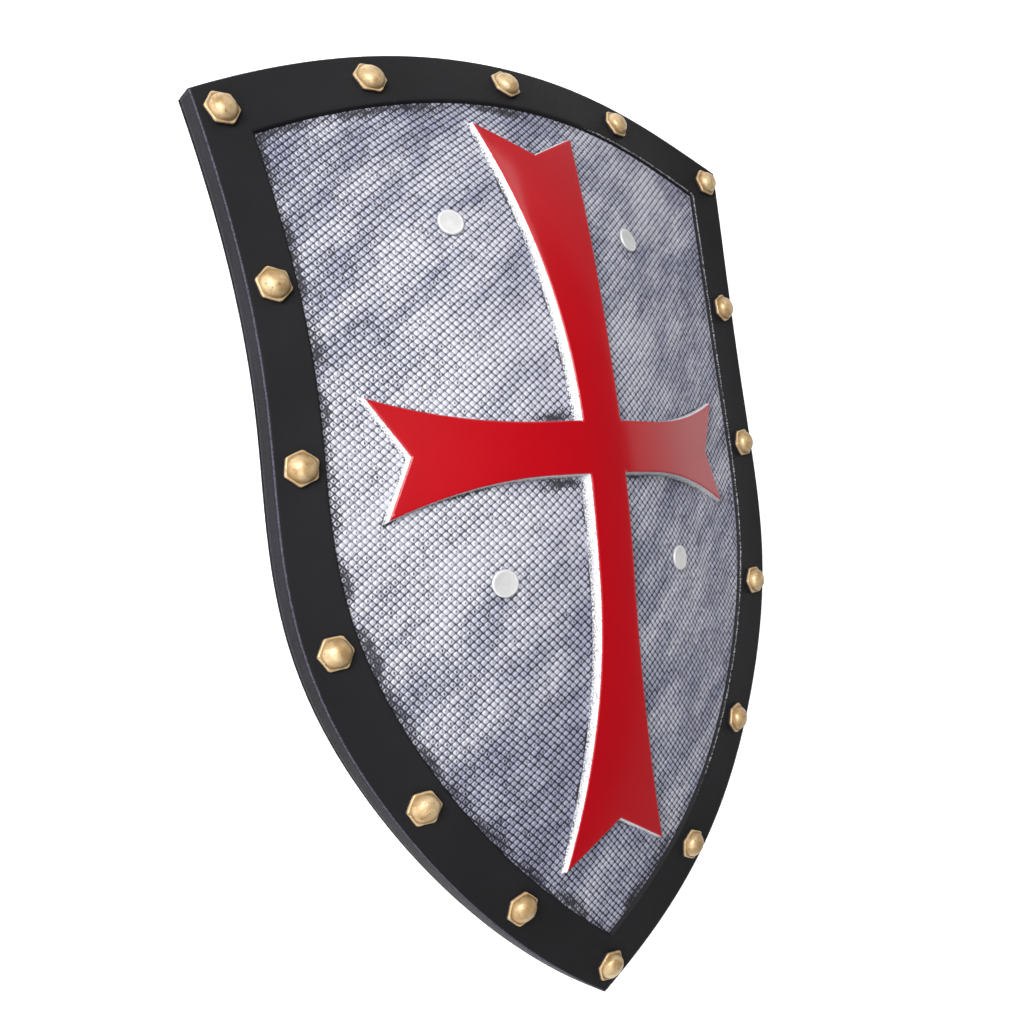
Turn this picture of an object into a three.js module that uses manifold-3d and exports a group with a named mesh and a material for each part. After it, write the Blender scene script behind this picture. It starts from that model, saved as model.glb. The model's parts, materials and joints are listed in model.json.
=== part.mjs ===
// A moulded foam heater shield: black border with gold studs, mail field, raised red cross,
// and two arm straps riveted on behind. It lies on its back edges with the front face up.
// Millimetres. x runs across, y towards the top edge, z up out of the front face.
import * as THREE from "three";
import { mergeVertices } from "three/addons/utils/BufferGeometryUtils.js";
import Module from "manifold-3d";

const wasm = await Module();
wasm.setup();

const degree = Math.PI / 180;

// Outline seen from the front, with y = 0 midway between the top and bottom studs
const topY = 298.5;
const cornerHalfWidth = 206.5;
const cornerY = 252.5;
const waistHalfWidth = 189.5;
const waistY = 79.5;
const hipHalfWidth = 157.5;
const hipY = -133;
const tipY = -304.5;
// How far each end of a side's curve pulls it along its own direction
const cornerPull = 50;
const waistPullUp = 64;
const waistPullDown = 74;
const hipPullUp = 94.5;
const hipPullDown = 80;
const tipPull = 82;
const cornerLean = 9.3 * degree;
const hipLean = 27.4 * degree;
const tipHalfAngle = 55.7 * degree;

// Bow of the front: a wave from side to side that fades towards both ends, and an arc lengthwise
const bowDepth = 47;
const bowHalfWave = 211;
const crownY = 46;
const bowFadeTop = 299;
const bowFadeTip = 352;
const arcRadiusTop = 599;
const arcRadiusTip = 1030;

// Shell and border: heights are measured from the border's front face
const shellThickness = 20;
const fieldDepth = 3;
const foamThickness = shellThickness - fieldDepth;
const borderTopWidth = 33;
const borderSideWidth = 28.5;
const borderTipWidth = 31.5;
// Shares of a side, from corner to tip, over which its border widens
const borderWidensFrom = 0.35;
const borderWidensTo = 0.6;
const stepSlope = 1;
const frontEdgeChamfer = 1.2;
const backEdgeChamfer = 3;

// Cross
const crossCentreY = 37.5;
const crossHeight = 5.9;
const crossRoot = 2;
const crossChamfer = 0.8;
const crossArms = {
  up: { length: 209, rootHalf: 15, tipHalf: 39, flareFrom: 16, notch: 19, steps: 9 },
  side: { length: 135.5, rootHalf: 16, tipHalf: 34.7, flareFrom: 40, notch: 18.2, steps: 6 },
  down: { length: 249.5, rootHalf: 14, tipHalf: 39.7, flareFrom: 80, notch: 23.5, steps: 10 },
};
// The top sinks towards the ends of the arms
const crossEndDrop = 3.9;
// The pattern was cut by hand: the crossbar slants a little, and its left end is askew
const crossbarTurn = 1.7 * degree;
const leftEndSkew = 3.6;

// Studs: a six-sided plate with a high dome
const studAcross = 21.4;
const studPlateHeight = 3.4;
const studPlateTaper = 0.7;
const studDomeRadius = 7.9;
const studDomeHeight = 6.4;
const studRoot = 2;
const studTopSpacing = 99;
const studSidePitch = 101.2;
const studsOnSide = 4;
// Each stud was set by hand: it is turned by up to this much, in no order
const studTurn = 29 * degree;
const studTurnStep = 0.81;

// Rivets and arm straps
const rivetX = 70.3;
const rivetUpperY = 178;
const rivetLowerY = -35.5;
const rivetCapRadius = 8.2;
const rivetCapThickness = 2;
const rivetShankRadius = 3;
const rivetHeadRadius = 7.5;
const rivetHeadThickness = 1.6;
const rivetEdge = 0.4;
const strapWidth = 38;
const strapThickness = 2.4;
const strapTabOuter = 15;
const strapTabInner = 8.5;
const strapBend = 8;
const strapFlat = 26;
const strapUpperBow = 27;
const strapLowerBow = 38;
const strapSeat = 0.8;
const gap = 0.3;

// Points closer together than this are one point
const weldDistance = 1e-4;

// Mesh fineness
const edgeSteps = 200;
const strapSteps = 12;
const closestCrossPoints = 1.5;
const topSteps = 7;
const sideSteps = 24;
const fieldRings = 5;
const longestCrossEdge = 30;
const roundSides = 20;
const domeSides = 10;
const domeRings = 3;

// Colours
const silverPaint = new THREE.MeshStandardMaterial({ color: 0x8f9098, roughness: 0.45, metalness: 0.5 });
const satinSteel = new THREE.MeshStandardMaterial({ color: 0xc9c9cc, roughness: 0.35, metalness: 0.9 });
const blackWebbing = new THREE.MeshStandardMaterial({ color: 0x1c1c1e, roughness: 0.9, metalness: 0 });

// Height of the border's front face at (x, y), below the crown
function front(x, y) {
  const along = y - crownY;
  const fade = Math.max(0, 1 - (along / (along > 0 ? bowFadeTop : bowFadeTip)) ** 2);
  const bow = (bowDepth / 2) * (1 - Math.cos((Math.PI * x) / bowHalfWave)) * fade;
  const radius = along > 0 ? arcRadiusTop : arcRadiusTip;
  return -bow - (radius - Math.sqrt(radius ** 2 - along ** 2));
}

// Slopes of that face across and along
function slopes(x, y) {
  const step = 0.5;
  return [
    (front(x + step, y) - front(x - step, y)) / (2 * step),
    (front(x, y + step) - front(x, y - step)) / (2 * step),
  ];
}

// The top edge from the middle to the right corner: an arc, as points at even spacing
function topEdge(steps) {
  const rise = topY - cornerY;
  const radius = (cornerHalfWidth ** 2 + rise ** 2) / (2 * rise);
  const half = Math.asin(cornerHalfWidth / radius);
  const start = Math.PI / 2;
  const arc = new THREE.EllipseCurve(0, topY - radius, radius, radius, start, start - half, true);
  return arc.getSpacedPoints(steps);
}

// The right side from corner to waist to hip to tip, as points at even spacing
function sideEdge(steps) {
  const along = (from, length, angle) =>
    from.clone().add(new THREE.Vector2(Math.sin(angle), Math.cos(angle)).multiplyScalar(length));
  const corner = new THREE.Vector2(cornerHalfWidth, cornerY);
  const waist = new THREE.Vector2(waistHalfWidth, waistY);
  const hip = new THREE.Vector2(hipHalfWidth, hipY);
  const tip = new THREE.Vector2(0, tipY);
  const stretches = [
    [corner, along(corner, -cornerPull, cornerLean), along(waist, waistPullUp, 0), waist],
    [waist, along(waist, -waistPullDown, 0), along(hip, hipPullUp, hipLean), hip],
    [hip, along(hip, -hipPullDown, hipLean), along(tip, tipPull, tipHalfAngle), tip],
  ];
  const side = new THREE.CurvePath();
  side.curves = stretches.map((points) => new THREE.CubicBezierCurve(...points));
  return side.getSpacedPoints(steps);
}

// A path of straight stretches through points
function polyline(points) {
  const path = new THREE.CurvePath();
  path.curves = points.slice(1).map((point, i) => new THREE.LineCurve(points[i], point));
  return path;
}

// A polyline moved to its right-hand side by a width that may change along it
function moved(points, width) {
  return points.map((point, i) => {
    const before = points[Math.max(0, i - 1)];
    const after = points[Math.min(points.length - 1, i + 1)];
    const direction = after.clone().sub(before).normalize();
    const distance = width(i / (points.length - 1));
    return new THREE.Vector2(point.x + direction.y * distance, point.y - direction.x * distance);
  });
}

// Where two polylines first cross
function crossing(first, second) {
  for (let i = 1; i < first.length; i++) {
    for (let j = 1; j < second.length; j++) {
      const a = first[i - 1];
      const r = first[i].clone().sub(a);
      const b = second[j - 1];
      const s = second[j].clone().sub(b);
      const span = r.cross(s);
      if (span === 0) continue;
      const t = b.clone().sub(a).cross(s) / span;
      const u = b.clone().sub(a).cross(r) / span;
      if (t >= 0 && t <= 1 && u >= 0 && u <= 1) return { at: a.add(r.multiplyScalar(t)), i, j };
    }
  }
  throw new Error("the border is wider than the shield");
}

// A top edge and a side trimmed where they cross and where the side meets the middle line
function joinedHalf(top, side) {
  let topPart = top;
  let sidePart = side;
  if (top.at(-1).distanceTo(side[0]) > weldDistance) {
    const corner = crossing(top, side);
    topPart = [...top.slice(0, corner.i), corner.at];
    sidePart = [corner.at.clone(), ...side.slice(corner.j)];
  }
  topPart[0].x = 0;
  const lastRight = sidePart.findIndex((point) => point.x < weldDistance);
  if (lastRight > 0) {
    const inside = sidePart[lastRight - 1];
    const outside = sidePart[lastRight];
    const t = inside.x / (inside.x - outside.x);
    sidePart = [...sidePart.slice(0, lastRight), inside.clone().lerp(outside, t)];
  }
  sidePart.at(-1).x = 0;
  return { top: topPart, side: sidePart };
}

// The right half of the outline, from top middle to corner to tip, moved inwards by one distance
function insetHalf(distance) {
  const top = moved(topEdge(edgeSteps), () => distance);
  const side = moved(sideEdge(edgeSteps), () => distance);
  return joinedHalf(top, side);
}

// The same half moved inwards by a share of the border's width
function borderHalf(share) {
  const top = moved(topEdge(edgeSteps), () => borderTopWidth * share);
  const side = moved(sideEdge(edgeSteps), (u) => {
    const widened = THREE.MathUtils.smoothstep(u, borderWidensFrom, borderWidensTo);
    return THREE.MathUtils.lerp(borderSideWidth, borderTipWidth, widened) * share;
  });
  return joinedHalf(top, side);
}

// The foot of the border's inner step, a little inside its upper edge
function stepFootHalf() {
  const upper = borderHalf(1);
  return joinedHalf(moved(upper.top, () => stepSlope), moved(upper.side, () => stepSlope));
}

// A closed ring, clockwise seen from the front, from a half outline
function ring(half) {
  const top = polyline(half.top).getSpacedPoints(topSteps);
  const side = polyline(half.side).getSpacedPoints(sideSteps);
  const right = [...top, ...side.slice(1)];
  const left = right.slice(1, -1).reverse();
  return [...right, ...left.map((point) => new THREE.Vector2(-point.x, point.y))];
}

// The shell: rings of points from the middle of the back, round the edge, to the middle of the front
function shellGeometry() {
  const middle = new THREE.Vector2(0, crossCentreY);
  const shrunk = (points, share) => points.map((point) => middle.clone().lerp(point, share));
  const shares = Array.from({ length: fieldRings - 1 }, (_, i) => (i + 1) / fieldRings);
  const outer = ring(insetHalf(0));
  const backEdge = ring(insetHalf(backEdgeChamfer));
  const stepFoot = ring(stepFootHalf());
  const levels = [
    ...shares.map((share) => [shrunk(backEdge, share), -shellThickness]),
    [backEdge, -shellThickness],
    [outer, -shellThickness + backEdgeChamfer],
    [outer, -frontEdgeChamfer],
    [ring(insetHalf(frontEdgeChamfer)), 0],
    [ring(borderHalf(1)), 0],
    [stepFoot, -fieldDepth],
    ...shares.reverse().map((share) => [shrunk(stepFoot, share), -fieldDepth]),
  ];
  const count = outer.length;
  const positions = [middle.x, middle.y, -shellThickness];
  for (const [points, height] of levels) {
    for (const point of points) positions.push(point.x, point.y, height);
  }
  positions.push(middle.x, middle.y, -fieldDepth);
  const last = positions.length / 3 - 1;
  const index = [];
  for (let i = 0; i < count; i++) {
    const next = (i + 1) % count;
    index.push(0, 1 + i, 1 + next);
    for (let level = 0; level < levels.length - 1; level++) {
      const low = 1 + level * count;
      const high = low + count;
      index.push(low + i, high + i, high + next, low + i, high + next, low + next);
    }
    const top = 1 + (levels.length - 1) * count;
    index.push(top + i, last, top + next);
  }
  return new THREE.BufferGeometry()
    .setAttribute("position", new THREE.Float32BufferAttribute(positions, 3))
    .setIndex(index);
}

// One arm of the cross, from its right root corner round its fish-tail end to its left root corner.
// A skew makes its right edge longer and its left edge shorter
function armOutline({ length, rootHalf, tipHalf, flareFrom, notch, steps }, from, skew = 0) {
  const halfAt = (u) => {
    const flare = Math.max(0, (u - flareFrom) / (length - flareFrom));
    return rootHalf + (tipHalf - rootHalf) * flare ** 2;
  };
  const edge = (side) =>
    Array.from({ length: steps + 1 }, (_, i) => {
      const half = halfAt(THREE.MathUtils.lerp(from, length, i / steps));
      return new THREE.Vector2(side * half, THREE.MathUtils.lerp(from, length + side * skew, i / steps));
    });
  return [...edge(1), new THREE.Vector2(0, length - notch), ...edge(-1).reverse()];
}

// The whole cross, its four arms joined at their roots
function crossShape() {
  const { up, side, down } = crossArms;
  const centre = new THREE.Vector2(0, crossCentreY);
  const axis = new THREE.Vector2();
  const turned = (points, angle) => points.map((point) => point.clone().rotateAround(axis, angle));
  const outline = [
    ...turned(armOutline(up, side.rootHalf), 0),
    ...turned(armOutline(side, up.rootHalf, leftEndSkew), Math.PI / 2 - crossbarTurn),
    ...turned(armOutline(down, side.rootHalf), Math.PI),
    ...turned(armOutline(side, up.rootHalf), -Math.PI / 2 - crossbarTurn),
  ].map((point) => point.add(centre));
  const apart = outline.filter((point, i) => point.distanceTo(outline.at(i - 1)) > closestCrossPoints);
  return new THREE.Shape(apart);
}

// Only positions, with shared corners merged, so that a geometry can become a solid
function welded(geometry) {
  const bare = geometry.clone();
  bare.deleteAttribute("normal");
  bare.deleteAttribute("uv");
  return mergeVertices(bare, weldDistance);
}

// Halves every edge longer than a limit, in both triangles that share it, until none is left
function refined(geometry, longest) {
  const source = geometry.attributes.position;
  const pointAt = (i) => new THREE.Vector3().fromBufferAttribute(source, i);
  const points = Array.from({ length: source.count }, (_, i) => pointAt(i));
  let index = [...geometry.index.array];
  for (;;) {
    const middles = new Map();
    const middle = (a, b) => {
      if (points[a].distanceTo(points[b]) <= longest) return undefined;
      const key = Math.min(a, b) + "," + Math.max(a, b);
      if (!middles.has(key)) {
        middles.set(key, points.length);
        points.push(points[a].clone().lerp(points[b], 0.5));
      }
      return middles.get(key);
    };
    const finer = [];
    for (let i = 0; i < index.length; i += 3) {
      const corners = index.slice(i, i + 3);
      const halves = corners.map((corner, k) => middle(corner, corners[(k + 1) % 3]));
      finer.push(...splitTriangle(corners, halves));
    }
    index = finer;
    if (middles.size === 0) break;
  }
  return new THREE.BufferGeometry()
    .setAttribute("position", new THREE.Float32BufferAttribute(points.flatMap((p) => p.toArray()), 3))
    .setIndex(index);
}

// A triangle cut at the middles of those of its edges that have one
function splitTriangle([a, b, c], [ab, bc, ca]) {
  const count = [ab, bc, ca].filter((half) => half !== undefined).length;
  if (count === 0) return [a, b, c];
  if (count === 3) return [a, ab, ca, ab, b, bc, ca, bc, c, ab, bc, ca];
  if (count === 1 && ab === undefined) return splitTriangle([b, c, a], [bc, ca, ab]);
  if (count === 2 && (ab === undefined || bc === undefined)) return splitTriangle([b, c, a], [bc, ca, ab]);
  if (count === 1) return [a, ab, c, ab, b, c];
  return [ab, b, bc, a, ab, bc, a, bc, c];
}

// A flat-backed geometry laid on the bowed front: each height becomes a height above that surface
function bowed(geometry) {
  const position = geometry.attributes.position;
  for (let i = 0; i < position.count; i++) {
    position.setZ(i, position.getZ(i) + front(position.getX(i), position.getY(i)));
  }
  return geometry;
}

// A geometry as a solid
function solidOf(geometry) {
  return new wasm.Manifold(
    new wasm.Mesh({
      numProp: 3,
      vertProperties: new Float32Array(geometry.attributes.position.array),
      triVerts: new Uint32Array(geometry.index.array),
    }),
  );
}

// A solid as a geometry
function geometryOf(solid) {
  const mesh = solid.getMesh();
  return new THREE.BufferGeometry()
    .setAttribute("position", new THREE.Float32BufferAttribute(mesh.vertProperties, 3))
    .setIndex(new THREE.Uint32BufferAttribute(mesh.triVerts, 1));
}

// Lowers the top of a flat cross towards its ends, by the square of the way along each arm
function sunkAtEnds(geometry) {
  const { up, side, down } = crossArms;
  const position = geometry.attributes.position;
  for (let i = 0; i < position.count; i++) {
    if (position.getZ(i) < 0) continue;
    const across = Math.abs(position.getX(i)) / side.length;
    const above = position.getY(i) - crossCentreY;
    const way = Math.max(across, above / up.length, -above / down.length);
    position.setZ(i, position.getZ(i) - crossEndDrop * way ** 2);
  }
  return geometry;
}

// The cross, its back a little inside the field
function crossSolid() {
  const geometry = new THREE.ExtrudeGeometry(crossShape(), {
    depth: crossHeight + fieldDepth + crossRoot - crossChamfer,
    bevelEnabled: true,
    bevelThickness: crossChamfer,
    bevelSize: crossChamfer,
    bevelOffset: -crossChamfer,
    bevelSegments: 1,
  });
  geometry.translate(0, 0, -fieldDepth - crossRoot);
  return solidOf(bowed(sunkAtEnds(refined(welded(geometry), longestCrossEdge))));
}

// Places of the studs on the middle line of the border: even from each top corner down, and the
// last one halfway to the tip's own stud
function studPlaces() {
  const half = borderHalf(0.5);
  const top = polyline(half.top);
  const side = polyline(half.side);
  const along = (path, distance) => path.getPointAt(distance / path.getLength());
  const pitched = Array.from({ length: studsOnSide }, (_, i) => studSidePitch * (i + 1));
  const last = (pitched.at(-1) + side.getLength()) / 2;
  const right = [
    along(top, studTopSpacing),
    half.side[0],
    ...[...pitched, last].map((distance) => along(side, distance)),
  ];
  const left = right.map((point) => new THREE.Vector2(-point.x, point.y));
  return [half.top[0], half.side.at(-1), ...right, ...left];
}

// One stud, its plate and dome standing square to the plan and laid on the bowed front
function studSolid(place, turn) {
  const plate = new THREE.CylinderGeometry(
    studAcross / 2 - studPlateTaper,
    studAcross / 2,
    studPlateHeight + studRoot,
    6,
  );
  plate.rotateX(Math.PI / 2);
  plate.rotateZ(turn);
  plate.translate(place.x, place.y, (studPlateHeight - studRoot) / 2);
  const rise = Array.from({ length: domeRings }, (_, i) => {
    const angle = (i / domeRings) * (Math.PI / 2);
    return new THREE.Vector2(studDomeRadius * Math.cos(angle), studDomeHeight * Math.sin(angle));
  });
  const foot = [new THREE.Vector2(0, -studRoot), new THREE.Vector2(studDomeRadius, -studRoot)];
  const dome = new THREE.LatheGeometry([...foot, ...rise, new THREE.Vector2(0, studDomeHeight)], domeSides);
  dome.rotateX(Math.PI / 2);
  dome.translate(place.x, place.y, studPlateHeight);
  return solidOf(bowed(welded(plate))).add(solidOf(bowed(welded(dome))));
}

// A rivet's own frame: origin on the field's surface, z along its normal
function rivetFrame(x, y) {
  const [across, lengthwise] = slopes(x, y);
  const normal = new THREE.Vector3(-across, -lengthwise, 1).normalize();
  const origin = new THREE.Vector3(x, y, front(x, y) - fieldDepth);
  const seat = -foamThickness * normal.z + strapSeat;
  const turn = new THREE.Quaternion().setFromUnitVectors(new THREE.Vector3(0, 0, 1), normal);
  return { across, lengthwise, normal, origin, seat, turn };
}

// A shape turned about its own y, stood on a rivet's frame
function placed(geometry, { turn, origin }) {
  return geometry.rotateX(Math.PI / 2).applyQuaternion(turn).translate(origin.x, origin.y, origin.z);
}

// The shank's way through foam and strap
function shankHole(frame) {
  const radius = rivetShankRadius + gap;
  const length = 4 * (foamThickness + strapThickness);
  const hole = new THREE.CylinderGeometry(radius, radius, length, roundSides);
  return solidOf(welded(placed(hole, frame)));
}

// A rivet turned about its shank: washer head behind, cap in front
function rivetGeometry(frame) {
  const headTop = frame.seat - strapThickness - 2 * gap;
  const headBottom = headTop - rivetHeadThickness;
  const capBottom = gap;
  const capTop = gap + rivetCapThickness;
  const profile = [
    [0, headBottom],
    [rivetHeadRadius - rivetEdge, headBottom],
    [rivetHeadRadius, headBottom + rivetEdge],
    [rivetHeadRadius, headTop],
    [rivetShankRadius, headTop],
    [rivetShankRadius, capBottom],
    [rivetCapRadius, capBottom],
    [rivetCapRadius, capTop - rivetEdge],
    [rivetCapRadius - rivetEdge, capTop],
    [0, capTop],
  ].map(([radius, height]) => new THREE.Vector2(radius, height));
  return placed(new THREE.LatheGeometry(profile, roundSides), frame);
}

// A strap's frame: tipped about x to follow the shield's length, origin between its two rivets' seats
function strapFrame(frame) {
  const seat = frame.origin.clone().addScaledVector(frame.normal, frame.seat);
  const tip = Math.atan(frame.lengthwise);
  const slope = Math.atan(frame.across * Math.cos(tip));
  return { seat, tip, slope };
}

// A shape of a strap's frame put in its place
function strapPlaced(geometry, { seat, tip }) {
  return geometry.rotateX(tip).translate(0, seat.y, seat.z);
}

// The webbing's middle line in its frame: flat tab, bend, loop, bend, flat tab
function strapLine({ seat, slope }, bow) {
  const inward = new THREE.Vector2(-Math.cos(slope), -Math.sin(slope));
  const off = new THREE.Vector2(-Math.sin(slope), Math.cos(slope));
  const centre = new THREE.Vector2(seat.x, 0).addScaledVector(off, -gap - strapThickness / 2);
  const outerEnd = centre.clone().addScaledVector(inward, -strapTabOuter);
  const innerEnd = centre.clone().addScaledVector(inward, strapTabInner);
  const middle = new THREE.Vector2(0, -bow);
  const loop = new THREE.CubicBezierCurve(
    innerEnd,
    innerEnd.clone().addScaledVector(inward, strapBend),
    new THREE.Vector2(strapFlat, -bow),
    middle,
  );
  const right = [outerEnd, ...loop.getPoints(strapSteps)];
  return [...right, ...right.slice(0, -1).reverse().map((point) => new THREE.Vector2(-point.x, point.y))];
}

// The webbing, its flat width across that line
function strapSolid(frame, bow) {
  const own = strapFrame(frame);
  const line = strapLine(own, bow);
  const side = (distance) => moved(line, () => distance);
  const outline = [...side(strapThickness / 2), ...side(-strapThickness / 2).reverse()];
  const options = { depth: strapWidth, bevelEnabled: false };
  const geometry = new THREE.ExtrudeGeometry(new THREE.Shape(outline), options);
  geometry.translate(0, 0, -strapWidth / 2).rotateX(Math.PI / 2);
  return solidOf(welded(strapPlaced(geometry, own)));
}

// The flat seat that a rivet presses into the foam under a strap's tab
function seatSolid(frame) {
  const own = strapFrame(frame);
  const depth = foamThickness;
  const outer = strapTabOuter + 2 * gap;
  const inner = strapTabInner + strapBend;
  const box = new THREE.BoxGeometry(outer + inner, strapWidth + 4 * gap, depth);
  box.translate((outer - inner) / 2, 0, -depth / 2);
  box.rotateY(-own.slope).translate(own.seat.x, 0, 0);
  return solidOf(welded(strapPlaced(box, own)));
}

// A solid mirrored from right to left
function mirrored(solid) {
  const geometry = geometryOf(solid).scale(-1, 1, 1);
  const index = geometry.index.array;
  for (let i = 0; i < index.length; i += 3) {
    const first = index[i];
    index[i] = index[i + 1];
    index[i + 1] = first;
  }
  return solidOf(geometry);
}

// Rows of two rivets and the strap that each row holds
const straps = [
  { name: "upper", y: rivetUpperY, bow: strapUpperBow },
  { name: "lower", y: rivetLowerY, bow: strapLowerBow },
];

const shield = new THREE.Group();

// One separate piece under its own name
function addPiece(name, geometry, material) {
  const mesh = new THREE.Mesh(geometry, material);
  mesh.name = name;
  shield.add(mesh);
}

let body = solidOf(bowed(shellGeometry())).add(crossSolid());
studPlaces().forEach((place, i) => {
  body = body.add(studSolid(place, studTurn * Math.sin(studTurnStep * i)));
});

for (const { name, y, bow } of straps) {
  const right = rivetFrame(rivetX, y);
  const left = rivetFrame(-rivetX, y);
  const seat = seatSolid(right);
  const holes = shankHole(right).add(shankHole(left));
  body = body.subtract(holes).subtract(seat).subtract(mirrored(seat));
  addPiece("strap_" + name, geometryOf(strapSolid(right, bow).subtract(holes)), blackWebbing);
  addPiece("rivet_" + name + "_right", rivetGeometry(right), satinSteel);
  addPiece("rivet_" + name + "_left", rivetGeometry(left), satinSteel);
}
addPiece("shield_body", geometryOf(body), silverPaint);

// The origin goes to the middle of the underside
const box = new THREE.Box3().setFromObject(shield);
const centre = box.getCenter(new THREE.Vector3());
shield.position.set(-centre.x, -centre.y, -box.min.z);

const part = new THREE.Group();
part.add(shield);

export default part;
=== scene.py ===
# %% [markdown]
# # A moulded foam knight shield
# The real thing is one casting of soft foam, painted by hand: a black border with gold studs, a
# field of small mail bumps dry-brushed in silver, and a raised red cross. Four rivets hold two arm
# straps behind it. It lies on its back edges, so the camera looks down on it.
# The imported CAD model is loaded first. It fixes every size, and all that follows is laid on it.

# %% Load the frame
import json
import math

import bpy
import numpy as np
from mathutils import Matrix, Vector
from mathutils.geometry import delaunay_2d_cdt

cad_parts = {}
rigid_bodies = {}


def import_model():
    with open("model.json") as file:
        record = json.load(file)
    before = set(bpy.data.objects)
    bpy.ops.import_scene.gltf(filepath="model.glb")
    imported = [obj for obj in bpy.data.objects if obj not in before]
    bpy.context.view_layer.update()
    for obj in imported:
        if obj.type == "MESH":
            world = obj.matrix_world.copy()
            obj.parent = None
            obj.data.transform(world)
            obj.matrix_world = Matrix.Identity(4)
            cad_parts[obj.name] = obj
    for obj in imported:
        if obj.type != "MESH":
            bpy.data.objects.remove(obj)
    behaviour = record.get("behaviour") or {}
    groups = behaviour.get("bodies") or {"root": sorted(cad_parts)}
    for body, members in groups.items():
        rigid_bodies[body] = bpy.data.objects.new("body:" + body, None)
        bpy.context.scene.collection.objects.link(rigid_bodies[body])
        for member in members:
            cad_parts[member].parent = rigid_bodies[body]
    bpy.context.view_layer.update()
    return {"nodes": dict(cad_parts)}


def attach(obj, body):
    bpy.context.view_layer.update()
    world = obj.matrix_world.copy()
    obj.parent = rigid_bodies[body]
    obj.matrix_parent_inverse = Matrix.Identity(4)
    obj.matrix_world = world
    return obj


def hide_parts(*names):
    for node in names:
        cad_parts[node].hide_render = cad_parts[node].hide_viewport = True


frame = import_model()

# %% [markdown]
# ## The bowed front
# Border, field and cross all follow one surface: a cosine wave from side to side, which fades
# towards the top and the tip, laid on an arc lengthwise. It could be sculpted, but a formula lets
# every piece ask for the height under any point, so nothing floats or sinks.
# Plan sizes are in millimetres, as a maker would mark them out, and become metres at the end.

# %% The front surface
BOW_DEPTH, BOW_HALF_WAVE, CROWN_Y = 47.0, 211.0, 46.0
FADE_TOP, FADE_TIP = 299.0, 352.0
ARC_TOP, ARC_TIP = 599.0, 1030.0
PLAN_TO_FRAME = np.array([0.0, 3.0, 81.33292])


def front(x, y):
    """Height of the border's face: minus a cosine bow times its fade, minus the drop of an arc."""
    along = y - CROWN_Y
    up = along > 0
    fade = np.maximum(0.0, 1.0 - (along / np.where(up, FADE_TOP, FADE_TIP)) ** 2)
    radius = np.where(up, ARC_TOP, ARC_TIP)
    drop = radius - np.sqrt(radius ** 2 - along ** 2)
    return -(BOW_DEPTH / 2) * (1 - np.cos(math.pi * x / BOW_HALF_WAVE)) * fade - drop


def laid(plan, height):
    """Plan points as frame points: the front's height under each, plus a height above it, in metres."""
    x, y = plan[..., 0], plan[..., 1]
    points = np.stack([x, y, front(x, y) + height], axis=-1)
    return (points + PLAN_TO_FRAME) / 1000


def normals_at(plan):
    """Unit normals of the front: minus its slope across, minus its slope along, and one."""
    x, y = plan[..., 0], plan[..., 1]
    step = 0.5
    across = (front(x + step, y) - front(x - step, y)) / (2 * step)
    along = (front(x, y + step) - front(x, y - step)) / (2 * step)
    normal = np.stack([-across, -along, np.ones_like(across)], axis=-1)
    return normal / np.linalg.norm(normal, axis=-1, keepdims=True)


print("crown height", round(float(laid(np.array([0.0, CROWN_Y]), 0.0)[2]), 4))

# %% [markdown]
# ## Turning grids into meshes
# Most pieces are closed rows of points, one after another. The helpers here join such rows with
# faces, close their ends, and put several shapes into one mesh. Named values are stored on the
# points with `foreach_set`, so that a material can tell a crest from a groove.

# %% Mesh helpers
def build(name, points, faces, values):
    """A smooth-shaded object from points, lists of faces and named values of each point."""
    mesh = bpy.data.meshes.new(name)
    mesh.from_pydata(points.reshape(-1, 3).tolist(), [], faces)
    for key, value in values.items():
        layer = mesh.attributes.new(key, "FLOAT", "POINT")
        layer.data.foreach_set("value", value.astype(np.float32).ravel())
    mesh.shade_smooth()
    made = bpy.data.objects.new(name, mesh)
    bpy.context.scene.collection.objects.link(made)
    return made


def grid_faces(rows, columns, start=0):
    """Four corners of each cell between closed rows: this column and the next, this row and the next."""
    i, j = np.meshgrid(np.arange(rows - 1), np.arange(columns), indexing="ij")
    k = (j + 1) % columns
    corners = [i * columns + j, i * columns + k, (i + 1) * columns + k, (i + 1) * columns + j]
    return (np.stack(corners, axis=-1).reshape(-1, 4) + start).tolist()


def fan(first, count, tip):
    """Triangles that join a closed row of points to one tip."""
    return [[first + i, first + (i + 1) % count, tip] for i in range(count)]


def joined(parts):
    """Several points, faces and values as one, with the faces' numbers moved on."""
    points, faces, values = [], [], []
    for part_points, part_faces, part_values in parts:
        base = sum(len(p) for p in points)
        faces += [[base + i for i in face] for face in part_faces]
        points.append(part_points)
        values.append(part_values)
    return np.concatenate(points), faces, np.concatenate(values)


def finish_piece(piece, material, slot, *nodes):
    """Gives a piece its material and its body, and hides the CAD nodes that it stands for. The slot is not
    used.
    """
    piece.data.materials.append(material)
    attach(piece, "root")
    if nodes:
        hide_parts(*nodes)
    print(piece.name, len(piece.data.polygons), "faces")


# %% [markdown]
# ## The outline
# The top edge is an arc. Each side is three curves: corner to waist, waist to hip, hip to tip.
# The border keeps its width inside that line, so its inner line is the same path moved inwards.

# %% Outline paths
TOP_Y, CORNER_X, CORNER_Y, TIP_Y = 298.5, 206.5, 252.5, -304.5
WAIST, HIP = (189.5, 79.5), (157.5, -133.0)
CORNER_PULL, WAIST_PULLS, HIP_PULLS, TIP_PULL = 50.0, (64.0, 74.0), (94.5, 80.0), 82.0
CORNER_LEAN, HIP_LEAN, TIP_HALF_ANGLE = math.radians(9.3), math.radians(27.4), math.radians(55.7)
BORDER_TOP, BORDER_SIDE, BORDER_TIP = 33.0, 28.5, 31.5
PATH_STEPS = 400


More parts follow.
